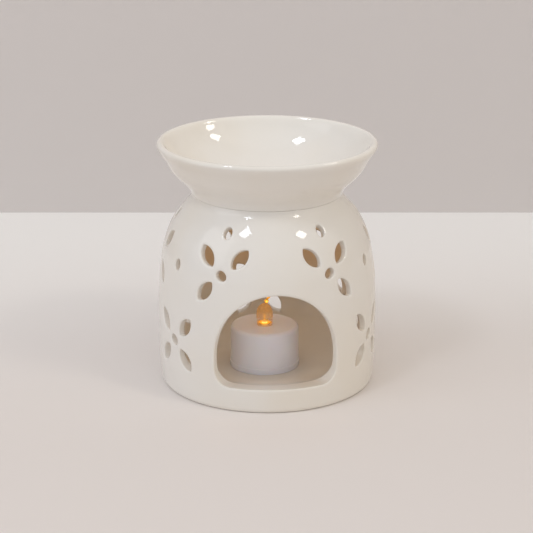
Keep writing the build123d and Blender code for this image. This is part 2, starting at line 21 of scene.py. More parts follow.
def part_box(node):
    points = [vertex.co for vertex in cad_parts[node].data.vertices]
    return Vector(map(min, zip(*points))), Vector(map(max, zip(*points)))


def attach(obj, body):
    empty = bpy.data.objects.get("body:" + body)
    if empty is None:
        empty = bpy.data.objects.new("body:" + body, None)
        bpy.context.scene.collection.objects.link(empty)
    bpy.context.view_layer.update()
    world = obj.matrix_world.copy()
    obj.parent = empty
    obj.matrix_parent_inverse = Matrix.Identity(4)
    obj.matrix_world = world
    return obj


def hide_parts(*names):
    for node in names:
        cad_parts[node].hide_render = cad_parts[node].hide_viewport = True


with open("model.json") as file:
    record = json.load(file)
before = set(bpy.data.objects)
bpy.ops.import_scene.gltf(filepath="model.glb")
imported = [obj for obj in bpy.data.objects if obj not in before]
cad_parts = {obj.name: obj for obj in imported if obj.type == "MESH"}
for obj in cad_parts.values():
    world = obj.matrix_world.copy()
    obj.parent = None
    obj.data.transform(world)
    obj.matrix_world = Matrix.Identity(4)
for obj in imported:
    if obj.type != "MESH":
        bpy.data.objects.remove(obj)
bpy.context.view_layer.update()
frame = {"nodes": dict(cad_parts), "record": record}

logging.basicConfig(level=logging.INFO, format="%(message)s")
log = logging.getLogger("oil_burner")

Point = tuple[float, float]
Span = tuple[float, float]
Colour = tuple[float, float, float]
Skins = tuple[np.ndarray, np.ndarray, np.ndarray, np.ndarray]

MM = 0.001
WELD = MM / 500
MIRROR_WELD = MM / 200
BACK = 180.0
HALVINGS = 40
COOL_DAY: Colour = (1.02, 1.08, 1.19)
WARM_DAY: Colour = (1.20, 1.12, 1.01)


class Body(Enum):
    """The bodies that new pieces ride on."""

    BURNER = "burner"
    DISH = "dish"
    TEALIGHT = "tealight"


class Slot(Enum):
    """The record's finishes."""

    GLAZE = "glazed_ceramic"
    HOUSING = "housing_plastic"
    FLAME = "flame_plastic"
    CARRIER = "carrier_plastic"
    LAMP = "lamp_epoxy"
    WIRE = "tinned_wire"
    STRIP = "spring_strip"
    CELL = "cell_steel"
    GASKET = "gasket_plastic"


def linear(*screen: int) -> Colour:
    """A colour as light, from the red, green and blue of 0 to 255 that a screen shows."""
    shares = (value / 255 for value in screen)
    return tuple(s / 12.92 if s <= 0.04045 else ((s + 0.055) / 1.055) ** 2.4 for s in shares)


class Value:
    """A shader socket that can be used in sums, each of which adds a Math node."""

    def __init__(self, shader: "Shader", socket: bpy.types.NodeSocket) -> None:
        """Wraps one output socket of a shader."""
        self.shader = shader
        self.socket = socket

    def _sum(self, operation: str, *values: Any) -> "Value":
        """The result of the Math node of one operation."""
        return self.shader.node("ShaderNodeMath", {"operation": operation}, dict(enumerate(values)))

    def __add__(self, other: Any) -> "Value":
        """This plus another."""
        return self._sum("ADD", self, other)

    __radd__ = __add__

    def __sub__(self, other: Any) -> "Value":
        """This less another."""
        return self._sum("SUBTRACT", self, other)

    def __rsub__(self, other: Any) -> "Value":
        """Another less this."""
        return self._sum("SUBTRACT", other, self)

    def __mul__(self, other: Any) -> "Value":
        """This times another."""
        return self._sum("MULTIPLY", self, other)

    __rmul__ = __mul__

    def __truediv__(self, other: Any) -> "Value":
        """This over another."""
        return self._sum("DIVIDE", self, other)

    def __rtruediv__(self, other: Any) -> "Value":
        """Another over this."""
        return self._sum("DIVIDE", other, self)

    def root(self) -> "Value":
        """The square root of this."""
        return self._sum("SQRT", self)

    def rise(self, low: float, high: float) -> "Value":
        """A smooth step of this value.

        Args:
            low: Where the step is 0.
            high: Where it is 1. With high under low, the step falls.

        Returns:
            The step, from 0 to 1.
        """
        first, last = sorted((low, high))
        inputs = {"Value": self, "From Min": first, "From Max": last}
        step = self.shader.node("ShaderNodeMapRange", {"interpolation_type": "SMOOTHSTEP"}, inputs, "Result")
        return 1 - step if high < low else step


class Shader:
    """A node material, or the world's nodes, as it is written."""

    def __init__(self, owner: Any) -> None:
        """Clears the nodes and starts afresh.

        Args:
            owner: The material or world that the nodes are for.
        """
        owner.use_nodes = True
        self.owner = owner
        self.tree = owner.node_tree
        self.tree.nodes.clear()

    def add(self, kind: str, settings: dict[str, Any] | None = None) -> bpy.types.Node:
        """Adds a bare node.

        Args:
            kind: The node's type.
            settings: What is set on the node itself.

        Returns:
            The node.
        """
        node = self.tree.nodes.new(kind)
        for name, value in (settings or {}).items():
            setattr(node, name, value)
        return node

    def feed(self, target: bpy.types.NodeSocket, value: Any) -> None:
        """Links or sets an input.

        Args:
            target: The input socket.
            value: What it gets: another node's value, a number, a vector or a colour.
        """
        if isinstance(value, Value):
            self.tree.links.new(value.socket, target)
        elif isinstance(value, tuple) and target.type == "RGBA":
            target.default_value = (*value, 1.0)
        else:
            target.default_value = value

    def node(self, kind: str, settings: dict[str, Any] | None = None, inputs: dict[Any, Any] | None = None,
             output: Any = 0) -> Value:
        """Adds any node.

        Args:
            kind: The node's type.
            settings: What is set on the node itself, such as its operation.
            inputs: Values or links by the name or number of the socket.
            output: The name or number of the output that is wanted.

        Returns:
            That output.
        """
        node = self.add(kind, settings)
        for name, value in (inputs or {}).items():
            self.feed(node.inputs[name], value)
        return Value(self, node.outputs[output])

    def place(self, centre: Vector | None = None) -> Value:
        """Where on the piece a point is.

        Args:
            centre: What it is measured from, in metres, where that isn't the frame's origin.

        Returns:
            Object coordinates in metres.
        """
        at = self.node("ShaderNodeTexCoord", output="Object")
        if centre is None:
            return at
        return self.node("ShaderNodeVectorMath", {"operation": "SUBTRACT"}, {0: at, 1: tuple(centre)})

    def axes(self, at: Value) -> tuple[Value, ...]:
        """The three numbers of a vector."""
        split = self.node("ShaderNodeSeparateXYZ", {}, {0: at})
        return tuple(Value(self, out) for out in split.socket.node.outputs)

    def mix(self, share: Any, low: Any, high: Any) -> Value:
        """A colour between two others."""
        return self.node("ShaderNodeMix", {"data_type": "RGBA"}, {0: share, 6: low, 7: high}, 2)

    def noise(self, at: Value, scale: float, detail: float) -> Value:
        """Cloudy noise from 0 to 1."""
        inputs = {"Vector": at, "Scale": scale, "Detail": detail, "Roughness": 0.5}
        return self.node("ShaderNodeTexNoise", {}, inputs, "Fac")

    def bump(self, height: Value, strength: float, distance: float) -> Value:
        """A normal that a height tilts."""
        inputs = {"Height": height, "Strength": strength, "Distance": distance}
        return self.node("ShaderNodeBump", {}, inputs)

    def principled(self, **sockets: Any) -> Value:
        """The main shader. Underscores in a name stand for spaces."""
        inputs = {name.replace("_", " "): value for name, value in sockets.items()}
        return self.node("ShaderNodeBsdfPrincipled", {}, inputs)

    def finish(self, surface: Value) -> Any:
        """Ends the tree at its output.

        Args:
            surface: The shader that the output shows.

        Returns:
            The owner of the nodes.
        """
        world = isinstance(self.owner, bpy.types.World)
        out = self.add("ShaderNodeOutputWorld" if world else "ShaderNodeOutputMaterial")
        self.feed(out.inputs["Surface"], surface)
        return self.owner


@dataclass(frozen=True)
class Glaze:
    """Cream glaze over pale clay. Its heights are in metres, and each span runs from a mask's 0 to its 1."""

    name: str = "cream glaze"
    cream: Colour = linear(235, 231, 224)
    warm: Colour = linear(233, 226, 214)
    cloud_scale: float = 14.0
    cloud: Span = (0.35, 0.75)
    rough: float = 0.012
    cloud_rough: float = 0.012
    ripple_scale: float = 60.0
    ripple_h: float = 0.00006
    pinhole_scale: float = 210.0
    pinhole: Span = (0.10, 0.03)
    pinhole_depth: float = 0.4
    scarce_scale: float = 90.0
    scarce: Span = (0.70, 0.74)
    # Painted shade: a warm brown on the pot's inner wall, for the dim, warm light inside the lit pot.
    inside: Colour = linear(226, 201, 168)
    inside_low: Span = (0.030, 0.055)
    inside_top: Span = (0.100, 0.096)
    facing_in: Span = (-0.25, -0.7)

    def material(self) -> bpy.types.Material:
        """Builds the glaze: clouded cream, a painted warm shade on the pot's inner wall, a soft ripple and a
        few pinholes.

        Returns:
            The material.
        """
        shader = Shader(bpy.data.materials.new(self.name))
        at = shader.place()
        cloud = shader.noise(at, self.cloud_scale, 3.0)
        colour = shader.mix(cloud.rise(*self.cloud), self.cream, self.warm)
        # Painted shade on the inner wall, mixed over the glaze's own cream.
        colour = shader.mix(self.painted_chamber_shade(shader, at), colour, self.inside)
        ripple = shader.noise(at, self.ripple_scale, 1.0)
        cells = {"Vector": at, "Scale": self.pinhole_scale}
        speck = shader.node("ShaderNodeTexVoronoi", {}, cells, "Distance")
        scarce = shader.noise(at, self.scarce_scale, 0.0).rise(*self.scarce)
        height = ripple - speck.rise(*self.pinhole) * scarce * self.pinhole_depth
        surface = shader.principled(Base_Color=colour, Roughness=self.rough + cloud * self.cloud_rough,
                                    Normal=shader.bump(height, 1.0, self.ripple_h))
        return shader.finish(surface)

    def painted_chamber_shade(self, shader: Shader, at: Value) -> Value:
        """Where the pot's inner wall is, which gets a painted warm shade for the dim, warm light inside the
        pot.

        Args:
            shader: The glaze's nodes.
            at: Object coordinates.

        Returns:
            1 on the inner wall and 0 elsewhere.
        """
        x, y, z = shader.axes(at)
        east, north, _ = shader.axes(shader.node("ShaderNodeNewGeometry", output="Normal"))
        outward = (x * east + y * north) / (x * x + y * y).root()
        return outward.rise(*self.facing_in) * (z.rise(*self.inside_top) * z.rise(*self.inside_low))


@dataclass(frozen=True)
class Moulded:
    """Moulded plastic: a smooth or fine-grained skin. Depths are in metres."""

    name: str
    colour: Colour
    rough: float = 0.3
    grain_scale: float = 900.0
    grain_h: float = 0.00001
    grain_rough: float = 0.08
    flow_scale: float = 40.0
    flow: Span = (0.3, 0.7)
    flow_tone: float = 0.93
    subsurface: float = 0.0
    subsurface_depth: float = 0.002

    def material(self) -> bpy.types.Material:
        """Builds the plastic with its mould grain.

        Returns:
            The material.
        """
        shader = Shader(bpy.data.materials.new(self.name))
        at = shader.place()
        grain = shader.noise(at, self.grain_scale, 2.0)
        flow = shader.noise(at, self.flow_scale, 1.0).rise(*self.flow)
        darker = tuple(self.flow_tone * channel for channel in self.colour)
        surface = shader.principled(Base_Color=shader.mix(flow, self.colour, darker),
                                    Roughness=self.rough + grain * self.grain_rough,
                                    Subsurface_Weight=self.subsurface, Subsurface_Scale=self.subsurface_depth,
                                    Normal=shader.bump(grain, 1.0, self.grain_h))
        return shader.finish(surface)


@dataclass(frozen=True)
class SheetMetal:
    """Plated or drawn metal with fine lines. Depths are in metres."""

    name: str
    colour: Colour
    rough: float = 0.25
    line_scale: float = 1500.0
    line_stretch: tuple[float, float, float] = (1.0, 0.05, 1.0)
    line_strength: float = 0.5
    line_h: float = 0.00001
    tarnish_scale: float = 220.0
    tarnish: Span = (0.4, 0.8)
    tarnish_tone: float = 0.7
    tarnish_rough: float = 0.15

    def material(self) -> bpy.types.Material:
        """Builds the metal with its drawn lines and a little tarnish.

        Returns:
            The material.
        """
        shader = Shader(bpy.data.materials.new(self.name))
        at = shader.place()
        drawn = shader.node("ShaderNodeVectorMath", {"operation": "MULTIPLY"}, {0: at, 1: self.line_stretch})
        lines = shader.noise(drawn, self.line_scale, 2.0)
        tarnish = shader.noise(at, self.tarnish_scale, 3.0).rise(*self.tarnish)
        duller = tuple(self.tarnish_tone * channel for channel in self.colour)
        surface = shader.principled(Base_Color=shader.mix(tarnish, self.colour, duller), Metallic=1.0,
                                    Roughness=self.rough + tarnish * self.tarnish_rough,
                                    Normal=shader.bump(lines, self.line_strength, self.line_h))
        return shader.finish(surface)


@dataclass(frozen=True)
class LitFlame:
    """Clear amber plastic round painted glow shapes, which the mesh marks with an attribute.

    Spans that end in up are shares of the egg's height, and the other spans and the blob's place are in
    millimetres. A glow of 1 is that of the painted glow shapes, which stand for the lamp's light in the lens.
    """

    name: str = "lit amber"
    painted_glow_mark: str = "painted_glow"
    amber: Colour = linear(238, 190, 116)
    foot: Colour = linear(248, 222, 190)
    # Base colour under the painted glow, and the painted glow's own colours.
    ember: Colour = (0.55, 0.20, 0.01)
    orange: Colour = (0.90, 0.36, 0.01)
    yellow: Colour = (1.0, 0.78, 0.10)
    rough: float = 0.12
    mottle_scale: float = 700.0
    mottle: Span = (0.35, 0.75)

    # Where and how strongly the lamp's light is painted as glow: a V over the glow shapes, a blob and tail at
    # the tip, and a faint glow over the egg and its foot.
    hot_out: Span = (1.9, 0.8)
    hot_up: Span = (0.25, 0.12)
    hot_gain: float = 0.6
    foot_up: Span = (0.14, 0.05)
    tip_up: Span = (1.06, 1.09)
    tip_glow: float = 0.55
    waist_start_up: Span = (1.22, 1.25)
    waist_end_up: Span = (1.31, 1.28)
    waist_loss: float = 0.3
    tail_up: Span = (1.29, 1.32)
    tail_gain: float = 0.25
    blob_at: Point = (1.05, 13.4)
    blob_out: Span = (1.15, 0.35)
    blob_glow: float = 0.5
    body_glow: float = 0.04
    mottle_glow: float = 0.05
    foot_glow: float = 0.05

    solid_low: float = 0.22
    solid_up: Span = (0.15, 0.6)
    solid_gain: float = 0.30
    solid_mottle: float = 0.12
    solid_foot: float = 0.6

    def material(self, foot: Vector, body_h: float) -> bpy.types.Material:
        """Builds the lit plastic, with the lamp's light in it painted as glow.

        Args:
            foot: Centre of the flame's foot, in metres.
            body_h: Height of its egg, in millimetres.

        Returns:
            The material.
        """
        shader = Shader(bpy.data.materials.new(self.name))
        painted_glow = shader.node("ShaderNodeAttribute", {"attribute_name": self.painted_glow_mark}, output="Fac")
        at = shader.place(foot)
        x, y, z = shader.axes(at)
        up, out = z / (body_h * MM), (x * x + y * y).root() / MM
        along, over = x / MM - self.blob_at[0], z / MM - self.blob_at[1]
        # Painted glow: the lamp's light in the lens, painted as emission by place.
        hot = painted_glow * out.rise(*self.hot_out) * up.rise(*self.hot_up)
        tip = up.rise(*self.tip_up)
        blob = (along * along + over * over).root().rise(*self.blob_out) * tip
        foot_part = up.rise(*self.foot_up) * (1 - painted_glow)
        waist = up.rise(*self.waist_start_up) * up.rise(*self.waist_end_up)
        lit = painted_glow + (1 - painted_glow) * tip
        mottle = shader.noise(at, self.mottle_scale, 3.0).rise(*self.mottle)

        tip_power = self.tip_glow - waist * self.waist_loss + up.rise(*self.tail_up) * self.tail_gain
        power = painted_glow * (1.0 + hot * self.hot_gain) + tip * tip_power + blob * self.blob_glow
        dim = self.body_glow + mottle * self.mottle_glow + foot_part * self.foot_glow
        power = power + (1 - lit) * dim
        glow = shader.mix(hot + blob, self.orange, self.yellow)
        emission = shader.node("ShaderNodeVectorMath", {"operation": "SCALE"}, {0: glow, "Scale": power})

        veil = self.solid_low + up.rise(*self.solid_up) * self.solid_gain
        veil = veil + mottle * self.solid_mottle + foot_part * self.solid_foot
        # Under the painted glow the base is dark orange; elsewhere it is amber, paler at the foot.
        base = shader.mix(lit, shader.mix(foot_part, self.amber, self.foot), self.ember)
        surface = shader.principled(Base_Color=base, Roughness=self.rough, Emission_Color=emission,
                                    Emission_Strength=1.0, Alpha=lit + (1 - lit) * veil)
        return shader.finish(surface)


@dataclass(frozen=True)
class LampGlow:
    """Epoxy of the lamp, which glows. Its spans are heights over the roof, in millimetres."""

    name: str = "lamp epoxy"
    epoxy: Colour = linear(246, 200, 110)
    hot: Colour = (1.5, 1.15, 0.25)
    cool: Colour = (0.45, 0.20, 0.03)
    rough: float = 0.1
    dome_h: float = 2.8
    lit_low: Span = (-0.7, 0.2)
    lit_top: Span = (2.4, 1.0)

    def material(self, top_z: float) -> bpy.types.Material:
        """Builds the epoxy, brightest where the lamp comes out of the housing's roof.

        Args:
            top_z: Height of the lamp's top, in millimetres.

        Returns:
            The material.
        """
        shader = Shader(bpy.data.materials.new(self.name))
        height = shader.axes(shader.place())[2] / MM - (top_z - self.dome_h)
        lit = height.rise(*self.lit_top) * height.rise(*self.lit_low)
        emission = shader.mix(lit, self.cool, self.hot)
        surface = shader.principled(Base_Color=self.epoxy, Roughness=self.rough, Emission_Color=emission,
                                    Emission_Strength=1.0)
        return shader.finish(surface)


def pick(thing: bpy.types.Object) -> None:
    """Makes one object the only selected one, and the active one.

    Args:
        thing: The object.
    """
    bpy.ops.object.select_all(action="DESELECT")
    thing.select_set(True)
    bpy.context.view_layer.objects.active = thing


@contextmanager
def editing(thing: bpy.types.Object) -> Iterator[None]:
    """Edit mode on one object, with all of it selected.

    Args:
        thing: The mesh object.

    Yields:
        Nothing. The mode ends with the block.
    """
    pick(thing)
    bpy.ops.object.mode_set(mode="EDIT")
    bpy.ops.mesh.select_all(action="SELECT")
    yield
    bpy.ops.object.mode_set(mode="OBJECT")


def modify(thing: bpy.types.Object, kind: str, **settings: Any) -> None:
    """Adds a modifier and applies it.

    Args:
        thing: The mesh object.
        kind: The modifier's type.
        **settings: What is set on it.
    """
    pick(thing)
    modifier = thing.modifiers.new(kind.lower(), kind)
    for name, value in settings.items():
        setattr(modifier, name, value)
    bpy.ops.object.modifier_apply(modifier=modifier.name)


def curve_mesh(name: str, chains: Sequence[Sequence[Point]], closed: bool,
               **settings: Any) -> bpy.types.Object:
    """Draws chains of points as one curve and makes it a mesh.

    Args:
        name: The object's name.
        chains: The chains, each a list of points in the curve's own plane.
        closed: Whether each chain joins its own start.
        **settings: What is set on the curve, such as its extrusion.

    Returns:
        The mesh object, flat in the XY plane.
    """
    curve = bpy.data.curves.new(name, "CURVE")
    curve.dimensions = "2D"
    for setting, value in settings.items():
        setattr(curve, setting, value)
    for chain in chains:
        spline = curve.splines.new("POLY")
        spline.points.add(len(chain) - 1)
        for spot, (x, y) in zip(spline.points, chain):
            spot.co = (x, y, 0, 1)
        spline.use_cyclic_u = closed
    thing = bpy.data.objects.new(name, curve)
    bpy.context.scene.collection.objects.link(thing)
    pick(thing)
    bpy.ops.object.convert(target="MESH")
    return bpy.context.view_layer.objects.active


def turned(name: str, profile: Sequence[Point], steps: int, centre: Point = (0.0, 0.0)) -> bpy.types.Object:
    """Turns a profile about an upright axis, as on a wheel.

    Args:
        name: The object's name.
        profile: Points (radius, height) in millimetres, from the axis back to the axis or round to the start.
        steps: Flats round the turn.
        centre: Where the axis stands, in millimetres.

    Returns:
        The closed mesh, in metres, shaded smooth apart from its sharper edges.
    """
    thing = curve_mesh(name, [profile], closed=False)
    for vertex in thing.data.vertices:
        radius, height = vertex.co.x, vertex.co.y
        vertex.co = Vector((radius * MM, 0, height * MM))
    with editing(thing):
        bpy.ops.mesh.spin(steps=steps, angle=2 * math.pi, center=(0, 0, 0), axis=(0, 0, 1))
        bpy.ops.mesh.select_all(action="SELECT")
        bpy.ops.mesh.remove_doubles(threshold=WELD)
        bpy.ops.mesh.normals_make_consistent(inside=False)
    for vertex in thing.data.vertices:
        vertex.co += Vector((centre[0] * MM, centre[1] * MM, 0))
    pick(thing)
    bpy.ops.object.shade_smooth_by_angle(angle=math.radians(40))
    return thing


def mark(thing: bpy.types.Object, name: str, value: float) -> None:
    """Gives every point of a piece the same value of an attribute."""
    attribute = thing.data.attributes.new(name, "FLOAT", "POINT")
    attribute.data.foreach_set("value", [value] * len(attribute.data))


def join(piece: bpy.types.Object, other: bpy.types.Object) -> None:
    """Joins another mesh into a piece.

    Args:
        piece: The piece that stays.
        other: The mesh that goes into it.
    """
    pick(piece)
    other.select_set(True)
    bpy.ops.object.join()


def dress(thing: bpy.types.Object, material: bpy.types.Material, body: Body, slot: Slot, *nodes: str) -> None:
    """Finishes a new piece.

    Args:
        thing: The piece.
        material: What it is made of.
        body: The body that it rides on.
        slot: Its finish in the record. It is not used.
        *nodes: The CAD nodes that it stands for.
    """
    thing.data.materials.clear()
    thing.data.materials.append(material)
    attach(thing, body.value)
    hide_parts(*nodes)
    log.info("%s: %d faces, on %s", thing.name, len(thing.data.polygons), body.value)


def arc(centre: Point, radius: float, start: float, end: float, steps: int) -> list[Point]:
    """Points on an arc, with its angles in degrees from the profile's outward axis."""
    turns = [math.radians(start + (end - start) * i / steps) for i in range(steps + 1)]
    return [(centre[0] + radius * math.cos(a), centre[1] + radius * math.sin(a)) for a in turns]


def cubic(share: float, start: np.ndarray, end: np.ndarray, leave: np.ndarray,
          arrive: np.ndarray) -> np.ndarray:
    """A point of the cubic curve between two points.

    Args:
        share: How far along the curve it is, from 0 to 1.
        start: The first point.
        end: The last point.
        leave: The pull with which the curve leaves the first point.
        arrive: The pull with which it comes in at the last.

    Returns:
        The point.
    """
    square, cube = share ** 2, share ** 3
    return ((2 * cube - 3 * square + 1) * start + (cube - 2 * square + share) * leave
            + (3 * square - 2 * cube) * end + (cube - square) * arrive)


class Sweep:
    """A smooth curve through profile points, with a set direction at each end."""

    SAMPLES = 600
    NUDGE = 0.02

    def __init__(self, points: Sequence[Point], start: Point, end: Point) -> None:
        """Works out the spline and its table of lengths.

        Args:
            points: Points (radius, height), in millimetres.
            start: Direction at the first point.
            end: Direction at the last point.
        """
        self.knots = np.array(points, float)
        self.gaps = np.linalg.norm(np.diff(self.knots, axis=0), axis=1)
        self.slopes = self._slopes(start, end)
        self.spans = np.concatenate([[0.0], np.cumsum(self.gaps)])
        self.params = np.linspace(0, self.spans[-1], self.SAMPLES)
        self.table = np.array([self._at(param) for param in self.params])
        steps = np.linalg.norm(np.diff(self.table, axis=0), axis=1)
        self.lengths = np.concatenate([[0.0], np.cumsum(steps)])
        self.length = float(self.lengths[-1])

    def _slopes(self, start: Point, end: Point) -> np.ndarray:
        """The slopes at the points that make the curve bend evenly through them.

        Args:
            start: Direction at the first point.
            end: Direction at the last point.

        Returns:
            A slope for each point.
        """
        knots, count = self.knots, len(self.knots)
        rows, right = np.zeros((count, count)), np.zeros((count, 2))
        rows[0, 0] = rows[-1, -1] = 1
        right[0] = np.array(start) / np.linalg.norm(start)
        right[-1] = np.array(end) / np.linalg.norm(end)
        for i in range(1, count - 1):
            before, after = self.gaps[i - 1], self.gaps[i]
            back, ahead = knots[i] - knots[i - 1], knots[i + 1] - knots[i]
            rows[i, i - 1:i + 2] = after, 2 * (before + after), before
            right[i] = 3 * (after * back / before + before * ahead / after)
        return np.linalg.solve(rows, right)

    def _at(self, param: float) -> np.ndarray:
        """The point at a parameter.

        Args:
            param: The distance along the straight lines between the points.

        Returns:
            The point of the curve.
        """
        i = int(np.clip(np.searchsorted(self.spans, param) - 1, 0, len(self.gaps) - 1))
        gap = self.gaps[i]
        pulls = gap * self.slopes[i], gap * self.slopes[i + 1]
        return cubic((param - self.spans[i]) / gap, self.knots[i], self.knots[i + 1], *pulls)

    def at(self, length: float) -> np.ndarray:
        """The point at a length along the curve."""
        return self._at(float(np.interp(length, self.lengths, self.params)))

    def normal(self, length: float) -> np.ndarray:
        """The direction away from the curve, to the right of the way it runs.

        Args:
            length: How far along the curve it is taken.

        Returns:
            The unit normal.
        """
        ahead, behind = min(length + self.NUDGE, self.length), max(length - self.NUDGE, 0.0)
        along = self.at(ahead) - self.at(behind)
        along /= np.linalg.norm(along)
        return np.array([along[1], -along[0]])

    def length_at(self, height: float) -> float:
        """The length at which a rising curve reaches a height."""
        return float(np.interp(height, self.table[:, 1], self.lengths))

    def points(self, steps: int) -> list[Point]:
        """Evenly spaced points along the whole curve."""
        return [tuple(self.at(self.length * i / steps)) for i in range(steps + 1)]


@dataclass
class Pot:
    """The pierced pot: a flat sheet with every opening cut, wrapped round inner and outer skins.

    On the flat sheet u runs round the pot, in millimetres at the belly, v runs up the wall and w is its
    depth. A station is a share of the way out from the neck to the belly, and of the way down to it.
    """

    # The turned shape, outside and in
    belly_r: float = 59.48
    belly_z: float = 38.0
    foot_in: float = 3.5
    foot_round: float = 3.2
    foot_flare: float = 2.2
    foot_lean: float = 0.10
    foot_ring_w: float = 5.2
    foot_recess: float = 2.2
    recess_round: Point = (0.6, 0.25)
    ring_round: float = 0.35
    ring_flat: float = 0.3
    under_rings: Point = (16.0, 32.0)
    seam_z: float = 105.3
    neck_r: float = 40.6
    neck_lean: float = 0.25
    stations: tuple[Point, ...] = ((0.878, 0.505), (0.709, 0.318), (0.413, 0.162), (0.116, 0.062))
    lip_round: float = 0.6
    mouth_r: float = 36.0
    mouth_depth: float = 5.6
    mouth_step: float = 1.5
    mouth_round: float = 0.8
    wall: float = 4.2
    floor_z: float = 6.8
    floor_r: float = 28.7
    cove_h: float = 20.0
    cove_pull: float = 1.15

    # The arch and its sill
    arch_half: float = 34.3
    arch_spring_z: float = 29.0
    arch_top_z: float = 65.1
    arch_corner_r: float = 9.0
    arch_margin: float = 3.0
    sill_z: float = 13.6
    sill_sink: float = 3.0
    sill_reach: float = 4.5

    # The pierced pattern
    leaf_l: float = 13.4
    leaf_w: float = 7.2
    leaf_tip_r: float = 0.8
    leaf_out: float = 9.4
    leaf_rise: float = 9.2
    leaf_tilt: float = 38.0
    oval: Point = (5.1, 6.2)
    oval_tilt: float = 50.0
    upper_z: float = 73.8
    upper_first: float = 30.0
    upper_count: int = 6
    lower_z: float = 32.3
    lower_first: float = 61.4
    lower_count: int = 5
    shoulder_dot_z: float = 94.8
    shoulder_dot: Point = (4.6, 6.8)
    waist_dot: Point = (4.4, 6.0)

    # The soft edges of the openings, and how fine the mesh is
    edge_reach: float = 1.4
    edge_round: float = 0.6
    edge_round_in: float = 1.2
    edge_steps: int = 2
    corner_steps: int = 5
    skirt_steps: int = 4
    floor_steps: int = 4
    lip_steps: int = 4
    arch_steps: int = 56
    arch_corner_steps: int = 8
    leaf_steps: int = 14
    leaf_tip_steps: int = 6
    oval_steps: int = 28
    wall_steps: int = 40
    half_turn_steps: int = 72
    row: float = 2.0
    row_slack: float = 1e-6
    wall_start_z: float = 12.4
    sheet_spare: float = 20.0
    sheet_weld: float = 1e-4
    level_digits: int = 4
    normal_weight: int = 60

    # What is worked out from the sizes
    outer: Sweep = field(init=False)
    cove_top: np.ndarray = field(init=False)
    wall_low: float = field(init=False)
    wall_high: float = field(init=False)
    foot_pairs: list[tuple[Point, Point]] = field(init=False)
    lip_pairs: list[tuple[Point, Point]] = field(init=False)

    def __post_init__(self) -> None:
        """Draws the skins from the sizes."""
        rise, spread = self.seam_z - self.belly_z, self.belly_r - self.neck_r
        foot_r = self.belly_r - self.foot_in
        path = [(foot_r + self.foot_flare, self.foot_round), (self.belly_r, self.belly_z)]
        path += [(self.neck_r + out * spread, self.seam_z - down * rise) for out, down in self.stations]
        path.append((self.neck_r, self.seam_z - self.lip_round))
        self.outer = Sweep(path, (self.foot_lean, 1.0), (-self.neck_lean, 1.0))
        self.cove_top = self._behind(self.outer.length_at(self.floor_z + self.cove_h))
        self.wall_low = self.outer.length_at(self.wall_start_z)
        self.wall_high = self.outer.length_at(self.seam_z - self.mouth_depth + self.mouth_step)
        self.foot_pairs = self._foot(foot_r)
        self.lip_pairs = self._lip()

    def _behind(self, length: float) -> np.ndarray:
        """The inner skin's point behind a place on the outer skin."""
        return self.outer.at(length) - self.wall * self.outer.normal(length)

    def _cove(self, share: float) -> np.ndarray:
        """A point of the hollow between the floor and the wall.

        Args:
            share: How far along it is: 0 at the floor and 1 at the wall.

        Returns:
            The point.
        """
        top, low = self.cove_top, np.array([self.floor_r, self.floor_z])
        pull = self.cove_pull * np.linalg.norm(top - low)
        return cubic(1 - share, top, low, np.array([0, -pull]), np.array([-pull, 0]))

    def _cove_share(self, height: float) -> float:
        """The share of the hollow's run at a height.

        Args:
            height: The height to reach.

        Returns:
            The share.
        """
        low, high = 0.0, 1.0
        for _ in range(HALVINGS):
            middle = (low + high) / 2
            low, high = (middle, high) if self._cove(middle)[1] < height else (low, middle)
        return low

    def _foot(self, foot_r: float) -> list[tuple[Point, Point]]:
        """The skins from the axis out to the start of the wall.

        Args:
            foot_r: Outer radius of the ring that the pot stands on.

        Returns:
            Pairs of outer and inner points.
        """
        recess, ring_in = self.foot_recess, foot_r - self.foot_ring_w
        hollow_r = ring_in - recess
        round_in, round_down = self.recess_round
        under = [(radius, recess) for radius in (0.0, *self.under_rings, hollow_r - round_in)]
        under += [(hollow_r, recess - round_down), (ring_in - self.ring_round, self.ring_round)]
        under += [(ring_in + self.ring_flat, 0.0), (foot_r, 0.0)]
        corner_r, corner_z = self.outer.at(0)
        turns = [math.pi / 2 * i / self.corner_steps for i in range(1, self.corner_steps + 1)]
        under += [(foot_r + (corner_r - foot_r) * math.sin(a), corner_z * (1 - math.cos(a))) for a in turns]
        skirt = [self.wall_low * i / self.skirt_steps for i in range(1, self.skirt_steps + 1)]
        under += [tuple(self.outer.at(length)) for length in skirt]
        inner = [(self.floor_r * i / self.floor_steps, self.floor_z) for i in range(self.floor_steps + 1)]
        reach, rest = self._cove_share(self.wall_start_z), len(under) - len(inner)
        inner += [tuple(self._cove(reach * i / rest)) for i in range(1, rest + 1)]
        return list(zip(under, inner))

    def _lip(self) -> list[tuple[Point, Point]]:
        """The skins from the top of the wall to where they meet in the mouth.

        Returns:
            Pairs of outer and inner points.
        """
        left, steps = self.outer.length - self.wall_high, self.lip_steps
        lip, small = self.lip_round, self.mouth_round
        path = [tuple(self.outer.at(self.wall_high + left * i / steps)) for i in range(steps + 1)]
        path += arc((self.neck_r - lip, self.seam_z - lip), lip, 0, 90, steps)[1:]
        path += arc((self.mouth_r + small, self.seam_z - small), small, 90, 180, steps)
        foot = (self.mouth_r, self.seam_z - self.mouth_depth)
        path += [(self.mouth_r, self.seam_z - self.mouth_depth / 2), foot]
        start, count = self._behind(self.wall_high), len(path) - 1
        inner = [tuple(start + (np.array(foot) - start) * i / count) for i in range(count + 1)]
        return list(zip(path, inner))

    def v_at(self, height: float) -> float:
        """The sheet's v where the outer skin reaches a height."""
        return self.outer.length_at(height) - self.wall_low

